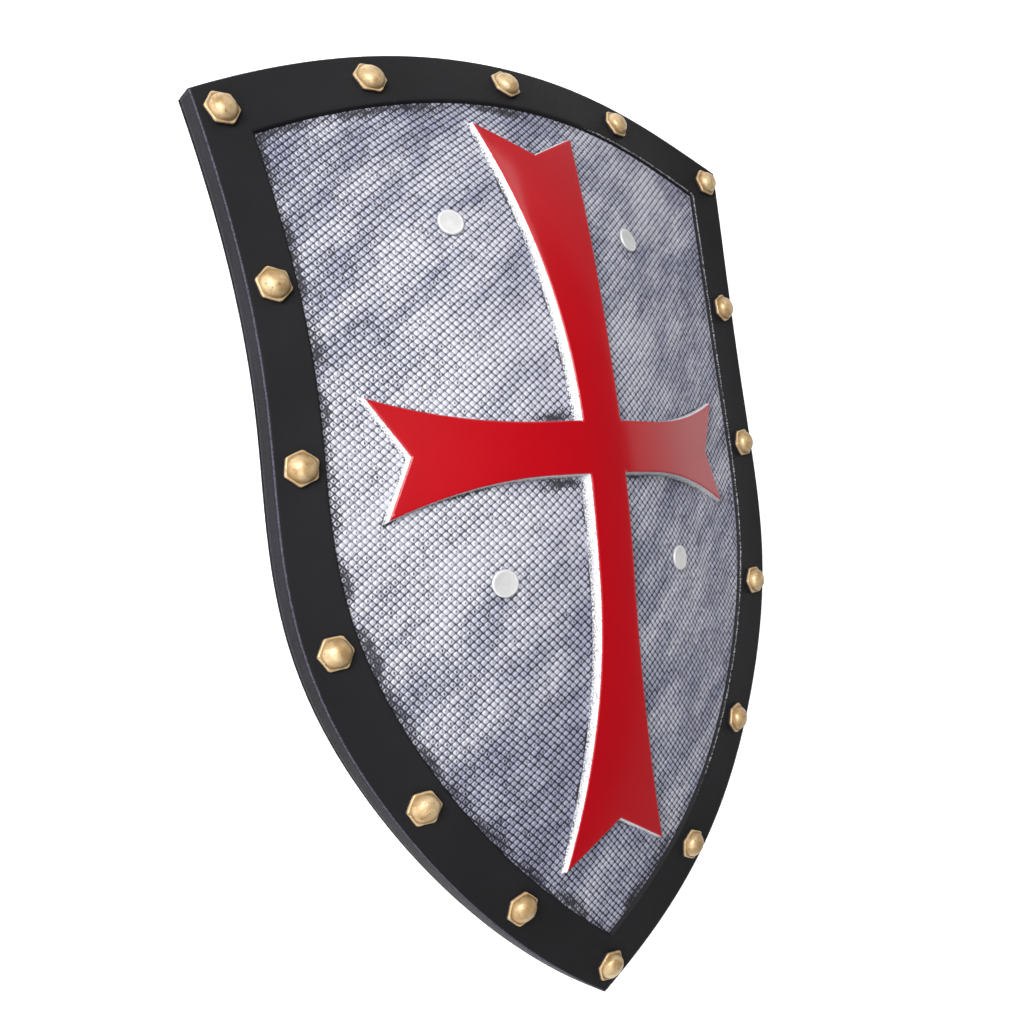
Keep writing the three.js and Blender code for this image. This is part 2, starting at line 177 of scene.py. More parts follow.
def running_length(path):
    """Length along a path at each of its points: the sum of the steps before it."""
    return np.concatenate([[0], np.cumsum(np.linalg.norm(np.diff(path, axis=0), axis=1))])


def at_length(path, distance):
    """The point of a path at a distance along it, or several for several distances."""
    run = running_length(path)
    return np.stack([np.interp(distance, run, path[:, k]) for k in (0, 1)], axis=-1)


def resample(path, steps):
    """The same path with its points at even spacing."""
    return at_length(path, np.linspace(0, running_length(path)[-1], steps + 1))


def bezier(a, b, c, d, steps=PATH_STEPS):
    """A cubic curve: its four points weighted by the cubic Bernstein polynomials."""
    t = np.linspace(0, 1, steps)[:, None]
    return (1 - t) ** 3 * a + 3 * (1 - t) ** 2 * t * b + 3 * (1 - t) * t ** 2 * c + t ** 3 * d


def top_path():
    """The arc from the top middle to the corner."""
    rise = TOP_Y - CORNER_Y
    radius = (CORNER_X ** 2 + rise ** 2) / (2 * rise)
    angle = np.linspace(0, math.asin(CORNER_X / radius), PATH_STEPS)
    return np.stack([radius * np.sin(angle), TOP_Y - radius + radius * np.cos(angle)], axis=1)


def side_path():
    """Three cubic curves end to end, pulled along the leaning directions of their ends."""
    def way(angle):
        return np.array([math.sin(angle), math.cos(angle)])
    corner, tip = np.array([CORNER_X, CORNER_Y]), np.array([0.0, TIP_Y])
    waist, hip = np.array(WAIST), np.array(HIP)
    up = way(0)
    parts = [
        bezier(corner, corner - CORNER_PULL * way(CORNER_LEAN), waist + WAIST_PULLS[0] * up, waist),
        bezier(waist, waist - WAIST_PULLS[1] * up, hip + HIP_PULLS[0] * way(HIP_LEAN), hip),
        bezier(hip, hip - HIP_PULLS[1] * way(HIP_LEAN), tip + TIP_PULL * way(TIP_HALF_ANGLE), tip),
    ]
    return resample(np.concatenate([parts[0], parts[1][1:], parts[2][1:]]), PATH_STEPS)


def moved(path, width):
    """A path moved to its right by a width: along its direction turned by a quarter."""
    way = np.gradient(path, axis=0)
    way /= np.linalg.norm(way, axis=1, keepdims=True)
    return path + np.stack([way[:, 1], -way[:, 0]], axis=1) * np.reshape(width, (-1, 1))


def crossed(top, side):
    """Top and side cut where they first cross, and the side cut at the middle line."""
    def turn(p, q):
        return p[..., 0] * q[..., 1] - p[..., 1] * q[..., 0]
    a, r = top[:-1, None], np.diff(top, axis=0)[:, None]
    b, s = side[None, :-1], np.diff(side, axis=0)[None]
    span = turn(r, s)
    t, u = turn(b - a, s) / span, turn(b - a, r) / span
    near = 1e-6
    i, j = np.argwhere((t > -near) & (t < 1 + near) & (u > -near) & (u < 1 + near))[0]
    corner = top[i] + t[i, j] * (top[i + 1] - top[i])
    top = np.concatenate([top[:i + 1], [corner]])
    side = np.concatenate([[corner], side[j + 1:]])
    top[0, 0] = 0
    past = np.argmax(side[:, 0] < near)
    share = side[past - 1, 0] / (side[past - 1, 0] - side[past, 0])
    end = side[past - 1] + share * (side[past] - side[past - 1])
    return top, np.concatenate([side[:past], [[0.0, end[1]]]])


def smooth(value, low, high):
    """0 below low, 1 above high, and an S-shaped step between."""
    t = np.clip((value - low) / (high - low), 0, 1)
    return t * t * (3 - 2 * t)


def outline_half(border_share=0.0, inset=0.0):
    """The right half's top and side, moved inwards by a share of the border's width and an inset."""
    u = np.linspace(0, 1, PATH_STEPS + 1)
    side_width = BORDER_SIDE + (BORDER_TIP - BORDER_SIDE) * smooth(u, 0.35, 0.6)
    top = moved(top_path(), BORDER_TOP * border_share + inset)
    side = moved(side_path(), side_width * border_share + inset)
    return crossed(top, side)


TOP_COLUMNS, SIDE_COLUMNS = 72, 200


def ring(border_share=0.0, inset=0.0):
    """The whole outline as one closed ring, clockwise from the top middle."""
    top, side = outline_half(border_share, inset)
    right = np.concatenate([resample(top, TOP_COLUMNS), resample(side, SIDE_COLUMNS)[1:]])
    return np.concatenate([right, right[-2:0:-1] * [-1, 1]])


OUTER, INNER = ring(), ring(1.0)
print("ring of", len(OUTER), "points, inner line", INNER.min(0).round(1), INNER.max(0).round(1))

# %% [markdown]
# ## How far from an edge
# Paint and relief change beside the cross and beside the border: bumps flatten, grooves stay dark, and painted
# shade darkens the field there.
# A table of distances on a 1 mm grid gives that for any point by interpolation, which is far
# quicker than measuring each of the many mail points against every edge.

# %% Distance tables
TABLE_LOW, TABLE_HIGH = np.array([-212.0, -312.0]), np.array([212.0, 304.0])


def inside(points, loop):
    """Which points a closed loop holds: those whose ray to the right crosses it an odd number of times."""
    x, y = points[:, 0:1], points[:, 1:2]
    a, b = loop, np.roll(loop, -1, axis=0)
    rises = (a[:, 1] > y) != (b[:, 1] > y)
    slope = np.where(b[:, 1] == a[:, 1], 1.0, b[:, 1] - a[:, 1])
    return ((x < a[:, 0] + (y - a[:, 1]) * (b[:, 0] - a[:, 0]) / slope) & rises).sum(1) % 2 == 1


def distance_table(loop):
    """Distance to a closed loop on a 1 mm grid: positive inside it and negative outside."""
    nx, ny = (TABLE_HIGH - TABLE_LOW).astype(int) + 1
    gx, gy = np.meshgrid(np.arange(nx) + TABLE_LOW[0], np.arange(ny) + TABLE_LOW[1], indexing="ij")
    points = np.stack([gx.ravel(), gy.ravel()], axis=1)
    a = loop
    ab = np.roll(loop, -1, axis=0) - a
    out = np.empty(len(points))
    for start in range(0, len(points), 8192):
        p = points[start:start + 8192, None]
        t = np.clip(((p - a) * ab).sum(-1) / (ab ** 2).sum(-1), 0, 1)
        near = np.sqrt((((p - a) - t[..., None] * ab) ** 2).sum(-1)).min(1)
        out[start:start + 8192] = np.where(inside(p[:, 0], loop), near, -near)
    return out.reshape(nx, ny)


def read_table(table, plan):
    """A table's value at any plan point, from the four nearest entries."""
    at = np.clip(plan - TABLE_LOW, 0, np.array(table.shape) - 1.001)
    i = at.astype(int)
    f = at - i
    a, b = table[i[..., 0], i[..., 1]], table[i[..., 0] + 1, i[..., 1]]
    c, d = table[i[..., 0], i[..., 1] + 1], table[i[..., 0] + 1, i[..., 1] + 1]
    low, high = a + (b - a) * f[..., 0], c + (d - c) * f[..., 0]
    return low + (high - low) * f[..., 1]


FIELD_ROOM = distance_table(INNER[::2])
print("widest reach inside the border", round(float(FIELD_ROOM.max()), 1), "mm")

# %% [markdown]
# ## The cross
# Four flared arms with fish-tail ends stand about 9 mm proud of the field. The outline is worked
# out first, because the mail has to know where it stops.

# %% Cross outline
CROSS_Y, CROSS_TOP, FIELD_DEPTH = 37.5, 5.9, 3.0
ARMS = {
    "up": dict(length=209.0, root=15.0, tip=39.0, flare_from=16.0, notch=19.0),
    "side": dict(length=135.5, root=16.0, tip=34.7, flare_from=40.0, notch=18.2),
    "down": dict(length=249.5, root=14.0, tip=39.7, flare_from=80.0, notch=23.5),
}
CROSSBAR_TURN, LEFT_END_SKEW, CROSS_END_DROP = math.radians(1.7), 3.6, 3.9


def arm_loop(arm, start, angle, skew=0.0):
    """One arm: half width is root plus (tip - root) times the square of the way along its flare."""
    steps = int((arm["length"] - start) / 2)
    u = np.linspace(start, arm["length"], steps)
    flare = np.maximum(0, (u - arm["flare_from"]) / (arm["length"] - arm["flare_from"]))
    half = arm["root"] + (arm["tip"] - arm["root"]) * flare ** 2
    right = np.stack([half, np.linspace(start, arm["length"] + skew, steps)], axis=1)
    left = np.stack([-half, np.linspace(start, arm["length"] - skew, steps)], axis=1)
    notch = np.array([0.0, arm["length"] - arm["notch"]])
    into = np.linspace(0, 1, 16)[1:, None]
    in_right, in_left = (tip + (notch - tip) * into for tip in (right[-1], left[-1]))
    points = np.concatenate([right, in_right, in_left[-2::-1], left[::-1]])
    spin = np.array([[math.cos(angle), math.sin(angle)], [-math.sin(angle), math.cos(angle)]])
    return points @ spin


def cross_loop():
    """The four arms end to end, anticlockwise, each from its right root corner to its left one."""
    side_root, post_root = ARMS["side"]["root"], ARMS["up"]["root"]
    loop = np.concatenate([
        arm_loop(ARMS["up"], side_root, 0),
        arm_loop(ARMS["side"], post_root, math.pi / 2 - CROSSBAR_TURN, LEFT_END_SKEW),
        arm_loop(ARMS["down"], side_root, math.pi),
        arm_loop(ARMS["side"], post_root, -math.pi / 2 - CROSSBAR_TURN),
    ]) + [0, CROSS_Y]
    apart = np.linalg.norm(loop - np.roll(loop, 1, axis=0), axis=1) > 1.0
    return loop[apart]


def grown(loop, distance):
    """A closed loop moved outwards by a distance, each corner along the middle of its two normals."""
    way = np.roll(loop, -1, axis=0) - loop
    way /= np.linalg.norm(way, axis=1, keepdims=True)
    out = np.stack([way[:, 1], -way[:, 0]], axis=1)
    before = np.roll(out, 1, axis=0)
    corner = (out + before) / (1 + (out * before).sum(1, keepdims=True))
    return loop + corner * distance


def filled(loop, spacing, creases=()):
    """A loop, points spread inside it and creases, joined into triangles. Gives points and triangles."""
    low, high = loop.min(0), loop.max(0)
    gx, gy = np.meshgrid(np.arange(low[0], high[0], spacing), np.arange(low[1], high[1], spacing))
    spread = np.stack([gx.ravel(), gy.ravel()], axis=1)
    fixed = np.concatenate([loop, *creases])
    near = np.linalg.norm(spread[:, None] - fixed[None, ::2], axis=-1).min(1)
    spread = spread[inside(spread, loop) & (near > spacing * 0.5)]
    edges, start = [], 0
    for ring_points in (loop, *creases):
        size = len(ring_points)
        edges += [(start + i, start + (i + 1) % size) for i in range(size)]
        start += size
    every = [Vector(p) for p in np.concatenate([fixed, spread])]
    made = delaunay_2d_cdt(every, edges, [list(range(len(loop)))], 1, 1e-6)
    return np.array([tuple(p) for p in made[0]]), [list(face) for face in made[2]]


def sunk(plan, height):
    """Height over the cross: less by the end drop times the square of the way along the arm."""
    above = plan[..., 1] - CROSS_Y
    way = np.maximum(np.abs(plan[..., 0]) / ARMS["side"]["length"],
                     np.maximum(above / ARMS["up"]["length"], -above / ARMS["down"]["length"]))
    share = np.clip((height + FIELD_DEPTH) / (CROSS_TOP + FIELD_DEPTH), 0, 1)
    return height - CROSS_END_DROP * way ** 2 * share


CROSS = cross_loop()
CROSS_ROOM = distance_table(CROSS)
print("cross outline of", len(CROSS), "points", CROSS.min(0).round(1), CROSS.max(0).round(1))

# %% [markdown]
# ## Paints
# The foam's finishes are brushed paint, and the rivets' steel is dull and worn in much the same way,
# so they share one effect: cloudy unevenness, fine grain and specks. It is a node group, built once,
# and each material picks its own amounts.

# %% Shared node group: brushed paint
def new_group(name, inputs, outputs):
    """An empty node group with named sockets, given as (name, kind, value)."""
    group = bpy.data.node_groups.new(name, "ShaderNodeTree")
    for label, kind, value in inputs:
        socket = group.interface.new_socket(label, in_out="INPUT", socket_type=kind)
        if value is not None:
            socket.default_value = value
    for label, kind in outputs:
        group.interface.new_socket(label, in_out="OUTPUT", socket_type=kind)
    return group, group.nodes.new("NodeGroupInput"), group.nodes.new("NodeGroupOutput")


def node(tree, kind, links=None, **settings):
    """A node with its settings, its inputs set or linked by name or number."""
    made = tree.nodes.new(kind)
    for key, value in settings.items():
        setattr(made, key, value)
    for key, value in (links or {}).items():
        if isinstance(value, bpy.types.NodeSocket):
            tree.links.new(value, made.inputs[key])
        else:
            made.inputs[key].default_value = value
    return made


def calc(tree, operation, first, second=0.0):
    """One sum on values or links."""
    return node(tree, "ShaderNodeMath", {0: first, 1: second}, operation=operation).outputs[0]


def plus(tree, base, value, share):
    """A base plus a share of a value."""
    return calc(tree, "ADD", base, calc(tree, "MULTIPLY", value, share))


def band(tree, value, low, high, to_low=0.0, to_high=1.0):
    """A smooth step from one value to another while the input goes from low to high."""
    made = node(tree, "ShaderNodeMapRange",
                {"Value": value, "From Min": low, "From Max": high, "To Min": to_low, "To Max": to_high},
                interpolation_type="SMOOTHSTEP")
    return made.outputs["Result"]


def mixed(tree, share, first, second):
    """A colour between two by a share."""
    made = node(tree, "ShaderNodeMix", data_type="RGBA")
    for socket, value in zip((made.inputs["Factor"], *[s for s in made.inputs if s.type == "RGBA"]),
                             (share, first, second)):
        if isinstance(value, bpy.types.NodeSocket):
            tree.links.new(value, socket)
        else:
            socket.default_value = value
    return [s for s in made.outputs if s.type == "RGBA"][0]


def noise(tree, vector, scale, detail=2.0, roughness=0.5):
    """Noise from 0 to 1 at so many lumps a metre."""
    made = node(tree, "ShaderNodeTexNoise",
                {"Vector": vector, "Scale": scale, "Detail": detail, "Roughness": roughness})
    return made.outputs["Fac"]


paint, g_in, g_out = new_group(
    "brushed_paint",
    [("Vector", "NodeSocketVector", None), ("Cloud Scale", "NodeSocketFloat", 18.0),
     ("Grain Scale", "NodeSocketFloat", 900.0), ("Speck Scale", "NodeSocketFloat", 260.0),
     ("Speck Amount", "NodeSocketFloat", 0.3)],
    [("Cloud", "NodeSocketFloat"), ("Grain", "NodeSocketFloat"), ("Specks", "NodeSocketFloat")])
place = g_in.outputs["Vector"]
cloud = band(paint, noise(paint, place, g_in.outputs["Cloud Scale"], 4.0, 0.6), 0.32, 0.68)
grain = noise(paint, place, g_in.outputs["Grain Scale"], 3.0, 0.6)
dots = noise(paint, place, g_in.outputs["Speck Scale"], 2.0, 0.7)
limit = calc(paint, "SUBTRACT", 0.78, calc(paint, "MULTIPLY", g_in.outputs["Speck Amount"], 0.35))
specks = band(paint, calc(paint, "SUBTRACT", dots, limit), 0.0, 0.04)
for label, value in (("Cloud", cloud), ("Grain", grain), ("Specks", specks)):
    paint.links.new(value, g_out.inputs[label])
print("node group", paint.name, [s.name for s in paint.interface.items_tree])

# %% [markdown]
# ## Material helpers
# A material starts from a Principled shader, the object's own coordinates and the values stored on
# the points. Object coordinates stay with the piece when it is exported.

# %% Start a material
def new_material(name):
    """A material with its shader and the coordinates of the piece."""
    made = bpy.data.materials.new(name)
    made.use_nodes = True
    tree = made.node_tree
    shader = tree.nodes["Principled BSDF"]
    where = tree.nodes.new("ShaderNodeTexCoord").outputs["Object"]
    return made, tree, shader, where


def stored(tree, name):
    """A value stored on the points of the piece."""
    return node(tree, "ShaderNodeAttribute", attribute_name=name).outputs["Fac"]


def brushed(tree, where, **values):
    """The shared paint effect with this material's own amounts."""
    made = node(tree, "ShaderNodeGroup", {"Vector": where}, node_tree=paint)
    for key, value in values.items():
        made.inputs[key.replace("_", " ").title()].default_value = value
    return made.outputs


def swing(tree, looks, amount):
    """The fine grain as a swing to both sides of nothing, times an amount."""
    return calc(tree, "MULTIPLY", calc(tree, "SUBTRACT", looks["Grain"], 0.5), amount)


def bumped(tree, height, strength, distance):
    """A bump from a height between 0 and 1, over a distance in metres."""
    made = node(tree, "ShaderNodeBump", {"Height": height, "Strength": strength, "Distance": distance})
    return made.outputs["Normal"]


# %% Black border paint
BLACK, SILVER = (0.0125, 0.0122, 0.0132, 1), (0.34, 0.34, 0.37, 1)

border_black, tree, shader, where = new_material("border_black")
looks = brushed(tree, where, cloud_scale=14.0, grain_scale=1100.0, speck_scale=520.0, speck_amount=0.36)
near_crest, on_wall, crease = stored(tree, "crest"), stored(tree, "wall"), stored(tree, "crease")
ragged = swing(tree, looks, 1.9)
face_paint = mixed(tree, looks["Cloud"], BLACK, (0.0150, 0.0147, 0.0160, 1))
wall_paint = mixed(tree, looks["Cloud"], (0.0044, 0.0041, 0.0062, 1), (0.0082, 0.0077, 0.0128, 1))
colour = mixed(tree, on_wall, face_paint, wall_paint)
# Painted highlight along the front and rear edges, partly rubbed paint on the rear edge: the creases turn a
# lighter purple-grey.
crease_highlight_and_wear = band(tree, calc(tree, "ADD", crease, ragged), 0.5, 1.3)
colour = mixed(tree, crease_highlight_and_wear, colour, (0.085, 0.082, 0.115, 1))
on_crest = band(tree, calc(tree, "ADD", near_crest, ragged), 0.86, 1.10)
colour = mixed(tree, on_crest, colour, SILVER)
tree.links.new(colour, shader.inputs["Base Color"])
tree.links.new(band(tree, looks["Grain"], 0.3, 0.7, 0.46, 0.62), shader.inputs["Roughness"])
tree.links.new(bumped(tree, looks["Grain"], 0.35, 0.0003), shader.inputs["Normal"])
shader.inputs["Specular IOR Level"].default_value = 0.07
print("made", border_black.name)

# %% [markdown]
# ## Where rivets and straps go
# Four rivets clamp the straps to the back, and each strap's end lies in a shallow seat there. The
# seats could be cut out with a boolean, but a few formulas give their places and tilts, and then the
# shell's back, the rivets and the straps all ask for the same ones.

# %% Rivet places and strap seats
SHELL, FOAM, STRAP_SEAT, SEAT_SLOPE, ON_LINE = 20.0, 17.0, 0.8, 0.5, 1e-3
RIVET_X, UPPER_Y, LOWER_Y = 70.3, 178.0, -35.5
RIVETS = [(x, y) for x in (RIVET_X, -RIVET_X) for y in (UPPER_Y, LOWER_Y)]
STRAP_WIDTH, STRAP_THICK, TAB_OUTER, TAB_INNER, STRAP_BEND, GAP = 38.0, 2.4, 15.0, 8.5, 8.0, 0.3


def rivet_frame(x, y):
    """Where a rivet stands: its origin on the field, the normal there, and how deep the strap's seat is."""
    normal = normals_at(np.array([x, y]))
    origin = np.array([x, y, float(front(np.array(x), np.array(y))) - FIELD_DEPTH])
    return origin, normal, -FOAM * normal[2] + STRAP_SEAT


def strap_frame(x, y):
    """A strap's seat point and its two tilts: along the shield, and across it."""
    origin, normal, depth = rivet_frame(x, y)
    tip = math.atan(-normal[1] / normal[2])
    slope = math.atan(-normal[0] / normal[2] * math.cos(tip))
    return origin + normal * depth, tip, slope


def seat_outlines(rivet):
    """The seat's upper outline and, a little inside it, the edge of its flat floor, in the plan."""
    seat, tip, slope = strap_frame(*rivet)
    side = math.copysign(1, rivet[0])
    outlines = []
    for inset in (0.0, SEAT_SLOPE):
        far, near = TAB_OUTER + 2 * GAP - inset, -(TAB_INNER + STRAP_BEND) + inset
        half = STRAP_WIDTH / 2 + 2 * GAP - inset
        corners = [(side * a, b) for a, b in ((near, -half), (far, -half), (far, half), (near, half))]
        outlines.append(np.array([(seat[0] + a * math.cos(slope), seat[1] + b * math.cos(tip)
                                   - a * math.sin(slope) * math.sin(tip)) for a, b in corners]))
    return outlines


def seat_height(rivet, plan):
    """Height of the seat's flat floor over plan points, in millimetres."""
    seat, tip, slope = strap_frame(*rivet)
    a = (plan[:, 0] - seat[0]) / math.cos(slope)
    b = (plan[:, 1] - seat[1] + a * math.sin(slope) * math.sin(tip)) / math.cos(tip)
    return seat[2] + b * math.sin(tip) + a * math.sin(slope) * math.cos(tip)


def on_loop(plan, loop):
    """Which plan points are corners of a loop."""
    return (np.linalg.norm(plan[:, None] - loop[None], axis=-1) < ON_LINE).any(1)


# %% [markdown]
# ## Shell and border
# On the real shield this is the whole casting: floor, inner step, flat black border, rounded
# edges, side wall with a parting line left by the mould, and a plain back with the straps' seats.
# A solid with bevels could do it, but a profile carried round the outline gives each crease its own
# width. Each row of the grid is one ring, and each column is the same spot of the profile.

# %% Shell rings
MIDDLE = np.array([0.0, CROSS_Y])
BACK_DROP, BACK_INSET, BACK_SPACING = SHELL - 0.3, 6.0, 8.0


def toward_middle(loop, share):
    """A ring drawn in towards the middle of the shield."""
    return MIDDLE + (loop - MIDDLE) * share


def between(a, b, share):
    """A ring part of the way from one ring to another."""
    return a + (b - a) * share


def shell_rows():
    """Rings from the floor, up the step, over the border and down the side: height, crest, wall, and crease,
    where the edges get their painted highlight and wear.
    """
    floor, foot = ring(1.0, 3.4), ring(1.0, 1.3)
    face_in, face_out = ring(1.0, -1.3), ring(0.0, 1.4)
    low = -FIELD_DEPTH - 1.6
    rows = [(toward_middle(floor, s), low, 0, 0, 0) for s in (0.001, 0.2, 0.4, 0.6, 0.8, 0.95)]
    rows += [(floor, low, 0, 0, 0), (foot, -FIELD_DEPTH - 0.3, 0.1, 0, 0)]
    rows += [(ring(1.0, 0.7), -2.0, 0.3, 0, 0), (ring(1.0, 0.2), -0.95, 0.8, 0, 0)]
    rows += [(ring(1.0, -0.25), -0.38, 1, 0, 0), (ring(1.0, -0.7), -0.1, 0.75, 0, 0)]
    rows += [(face_in, 0.0, 0.3, 0, 0), (ring(1.0, -2.4), 0.0, 0.0, 0, 0)]
    rows += [(between(face_in, face_out, s), 0.0, 0, 0, 0) for s in (0.2, 0.4, 0.6, 0.8, 0.95)]
    rows += [(face_out, 0.0, 0, 0, 0), (ring(0.0, 0.95), -0.07, 0, 0, 0.5), (ring(0.0, 0.5), -0.3, 0, 0, 1)]
    rows += [(ring(0.0, 0.15), -0.75, 0, 0.7, 1), (OUTER, -1.4, 0, 1, 0.4)]
    rows += [(OUTER, -h, 0, 1, 0) for h in (3.0, 6.0, 9.0, 12.0, 14.6)]
    rows += [(ring(0.0, 0.5), -15.1, 0, 1, 0), (ring(0.0, 0.5), -15.4, 0, 1, 0), (OUTER, -15.9, 0, 1, 0.5)]
    rows += [(ring(0.0, 0.2), -17.6, 0, 1, 0.2), (ring(0.0, 1.0), -18.9, 0, 1, 0.5)]
    rows += [(ring(0.0, 2.0), -19.55, 0, 0.6, 0.3), (ring(0.0, 3.2), -BACK_DROP, 0, 0.2, 0)]
    return rows


# %% Shell mesh
rows = shell_rows()
creases = [outline for rivet in RIVETS for outline in seat_outlines(rivet)]
back_plan, back_faces = filled(ring(0.0, BACK_INSET), BACK_SPACING, creases)
back_points = laid(back_plan, -BACK_DROP)
for rivet in RIVETS:
    seat_floor = seat_outlines(rivet)[1]
    within = inside(back_plan, seat_floor) | on_loop(back_plan, seat_floor)
    raised = (seat_height(rivet, back_plan) + PLAN_TO_FRAME[2]) / 1000
    back_points[:, 2] = np.where(within, np.maximum(back_points[:, 2], raised), back_points[:, 2])
points = np.concatenate([laid(loop, height) for loop, height, *_ in rows] + [back_points])
count, base = len(OUTER), len(rows) * len(OUTER)
faces = grid_faces(len(rows), count)
last = base - count
faces += [[last + i, last + (i + 1) % count, base + (i + 1) % count, base + i] for i in range(count)]
faces += [[base + i for i in face][::-1] for face in back_faces]
faces.append(list(range(count))[::-1])
plain = np.zeros(len(back_points))
crest, wall, crease = (np.concatenate([np.repeat([row[k] for row in rows], count), plain]) for k in (2, 3, 4))
silvered_side = 0.16 + 0.80 * smooth(OUTER[:, 0], 40, 120) + 0.35 * smooth(OUTER[:, 1], 200, 260)
crest[:base] *= np.tile(np.minimum(silvered_side, 1.0), len(rows))
shell = build("shell", points, faces, {"crest": crest, "wall": wall, "crease": crease})
finish_piece(shell, border_black, "border_black", "shield_body")

# %% [markdown]
# ## The mail field
# The mould carries thousands of small rounded squares in slanting rows, each with a tiny dimple.
# A bump texture would look flat from the side, so the relief is real: each bump is a patch of six
# by six faces. The rows run along two slanting directions, measured over the surface and not over
# the plan, so they crowd together where the front falls away.

# %% Where the rows run
ROW_A, ROW_B = np.array([0.1645, -0.2180]), np.array([-0.2130, -0.2000])
RELIEF, MAIL_FLOOR = 0.55, -FIELD_DEPTH - 0.35
SOLVE_STEPS, SOLVE_SHARE, MOST_ROWS = 12, 0.9, 110
KNOTS = np.array([-0.5, -0.41, -0.29, 0.0, 0.29, 0.41])


def surface_lengths():
    """Length over the surface from the middle line, and from the crown, on the 1 mm grid."""
    nx, ny = (TABLE_HIGH - TABLE_LOW).astype(int) + 1
    x, y = np.arange(nx) + TABLE_LOW[0], np.arange(ny) + TABLE_LOW[1]
    gx, gy = np.meshgrid(x, y, indexing="ij")
    z = front(gx, gy)
    across = np.sqrt(1 + np.gradient(z, axis=0) ** 2)
    along = np.sqrt(1 + np.gradient(z, axis=1) ** 2)
    run_x = np.cumsum(across, axis=0) - across / 2
    run_y = np.cumsum(along, axis=1) - along / 2
    run_x -= run_x[int(-TABLE_LOW[0])][None]
    run_y -= run_y[:, int(-TABLE_LOW[1])][:, None]
    sway = 1.1 * np.sin(gx / 31 + 1.3 * np.sin(gy / 57)) + 0.8 * np.sin(gy / 23 + gx / 67)
    return run_x + sway, run_y + 0.7 * np.cos(gx / 29 - gy / 41)


RUN_X, RUN_Y = surface_lengths()


def plan_from_rows(rows):
    """Plan points from row numbers: solved step by step, since lengths run over the surface."""
    target = rows @ np.linalg.inv(np.stack([ROW_A, ROW_B], axis=1))
    plan = target.copy()
    for _ in range(SOLVE_STEPS):
        wide = np.clip(plan, TABLE_LOW, TABLE_HIGH)
        reached = np.stack([read_table(RUN_X, wide), read_table(RUN_Y, wide)], axis=-1) + (plan - wide)
        plan = plan + SOLVE_SHARE * (target - reached)
    return plan


span = np.arange(-MOST_ROWS, MOST_ROWS + 1)
cell_a, cell_b = np.meshgrid(span, span, indexing="ij")
cells = np.stack([cell_a, cell_b], axis=-1).reshape(-1, 2)
rough_place = cells @ np.linalg.inv(np.stack([ROW_A, ROW_B], axis=1))
cells = cells[(np.abs(rough_place[:, 0]) < 230) & (np.abs(rough_place[:, 1]) < 340)]
centres = plan_from_rows(cells.astype(float))
field_room, cross_room = read_table(FIELD_ROOM, centres), read_table(CROSS_ROOM, centres)
kept = (field_room > -2.5) & (cross_room < 3.0)
cells, centres = cells[kept], centres[kept]
print(len(cells), "mail bumps")

# %% [markdown]
# Each bump differs a little, as cast and brushed ones do. Its random numbers are looked up by its
# row numbers, and it is shifted only inside its edges, so neighbours share their edge points.

# %% Mail relief
rng = np.random.default_rng(11)
TABLE = 256
BUMP_TALL = rng.normal(1.0, 0.12, (TABLE, TABLE))
BUMP_SHIFT = rng.normal(0.0, 0.035, (TABLE, TABLE, 2))
BUMP_DIMPLE = rng.uniform(0.4, 1.0, (TABLE, TABLE))
ROUNDED, HUMP_FROM, HUMP_TO, DIMPLE_WIDE, DIMPLE_DEEP = 3.2, 0.62, 1.02, 0.13, 0.40


def mail_patch(cell):
    """Height is 1 less a smooth step of the way out, which counts as a rounded square, less a dimple."""
    u, v = np.meshgrid(np.append(KNOTS, 0.5), np.append(KNOTS, 0.5), indexing="ij")
    local = np.stack([u, v], axis=-1).reshape(-1, 2)
    key = cell % TABLE
    on_edge = (np.abs(local) > 0.45).any(-1)
    wiggle = BUMP_SHIFT[key[:, 0], key[:, 1]][:, None] * ~on_edge[None, :, None]
    rows = cell[:, None] + local[None] + wiggle
    away = (np.abs(2 * local) ** ROUNDED).sum(-1) ** (1 / ROUNDED)
    hump = 1 - smooth(away, HUMP_FROM, HUMP_TO)
    dimple = np.exp(-(np.linalg.norm(local, axis=-1) / DIMPLE_WIDE) ** 2)
    tall = BUMP_TALL[key[:, 0], key[:, 1]][:, None]
    depth = BUMP_DIMPLE[key[:, 0], key[:, 1]][:, None]
    shape = hump[None] * tall - DIMPLE_DEEP * dimple[None] * depth
    return rows, shape, np.broadcast_to(dimple[None] * depth, shape.shape)


def shared_faces(rows):
    """Faces of all patches, and the points that are kept, since points on shared edges become one."""
    side = len(KNOTS) + 1
    index = np.arange(side * side).reshape(side, side)
    quad = np.stack([index[:-1, :-1], index[1:, :-1], index[1:, 1:], index[:-1, 1:]], axis=-1).reshape(-1, 4)
    faces = (np.arange(len(rows))[:, None, None] * side * side + quad[None]).reshape(-1, 4)
    keys = np.round(rows.reshape(-1, 2) * 1000).astype(np.int64)
    _, first, which = np.unique(keys[:, 0] * 10 ** 7 + keys[:, 1], return_index=True, return_inverse=True)
    return which.reshape(-1)[faces].tolist(), first


# %% Mail wear and painted shade
CORNER_SHADE_X, CORNER_SHADES_Y = -28.0, (18.0, 57.0)


def spot(x, y, centre, reach):
    """A soft patch: e to the power of minus the squares of the ways from its centre over their reaches."""
    return np.exp(-((x - centre[0]) / reach[0]) ** 2 - ((y - centre[1]) / reach[1]) ** 2)


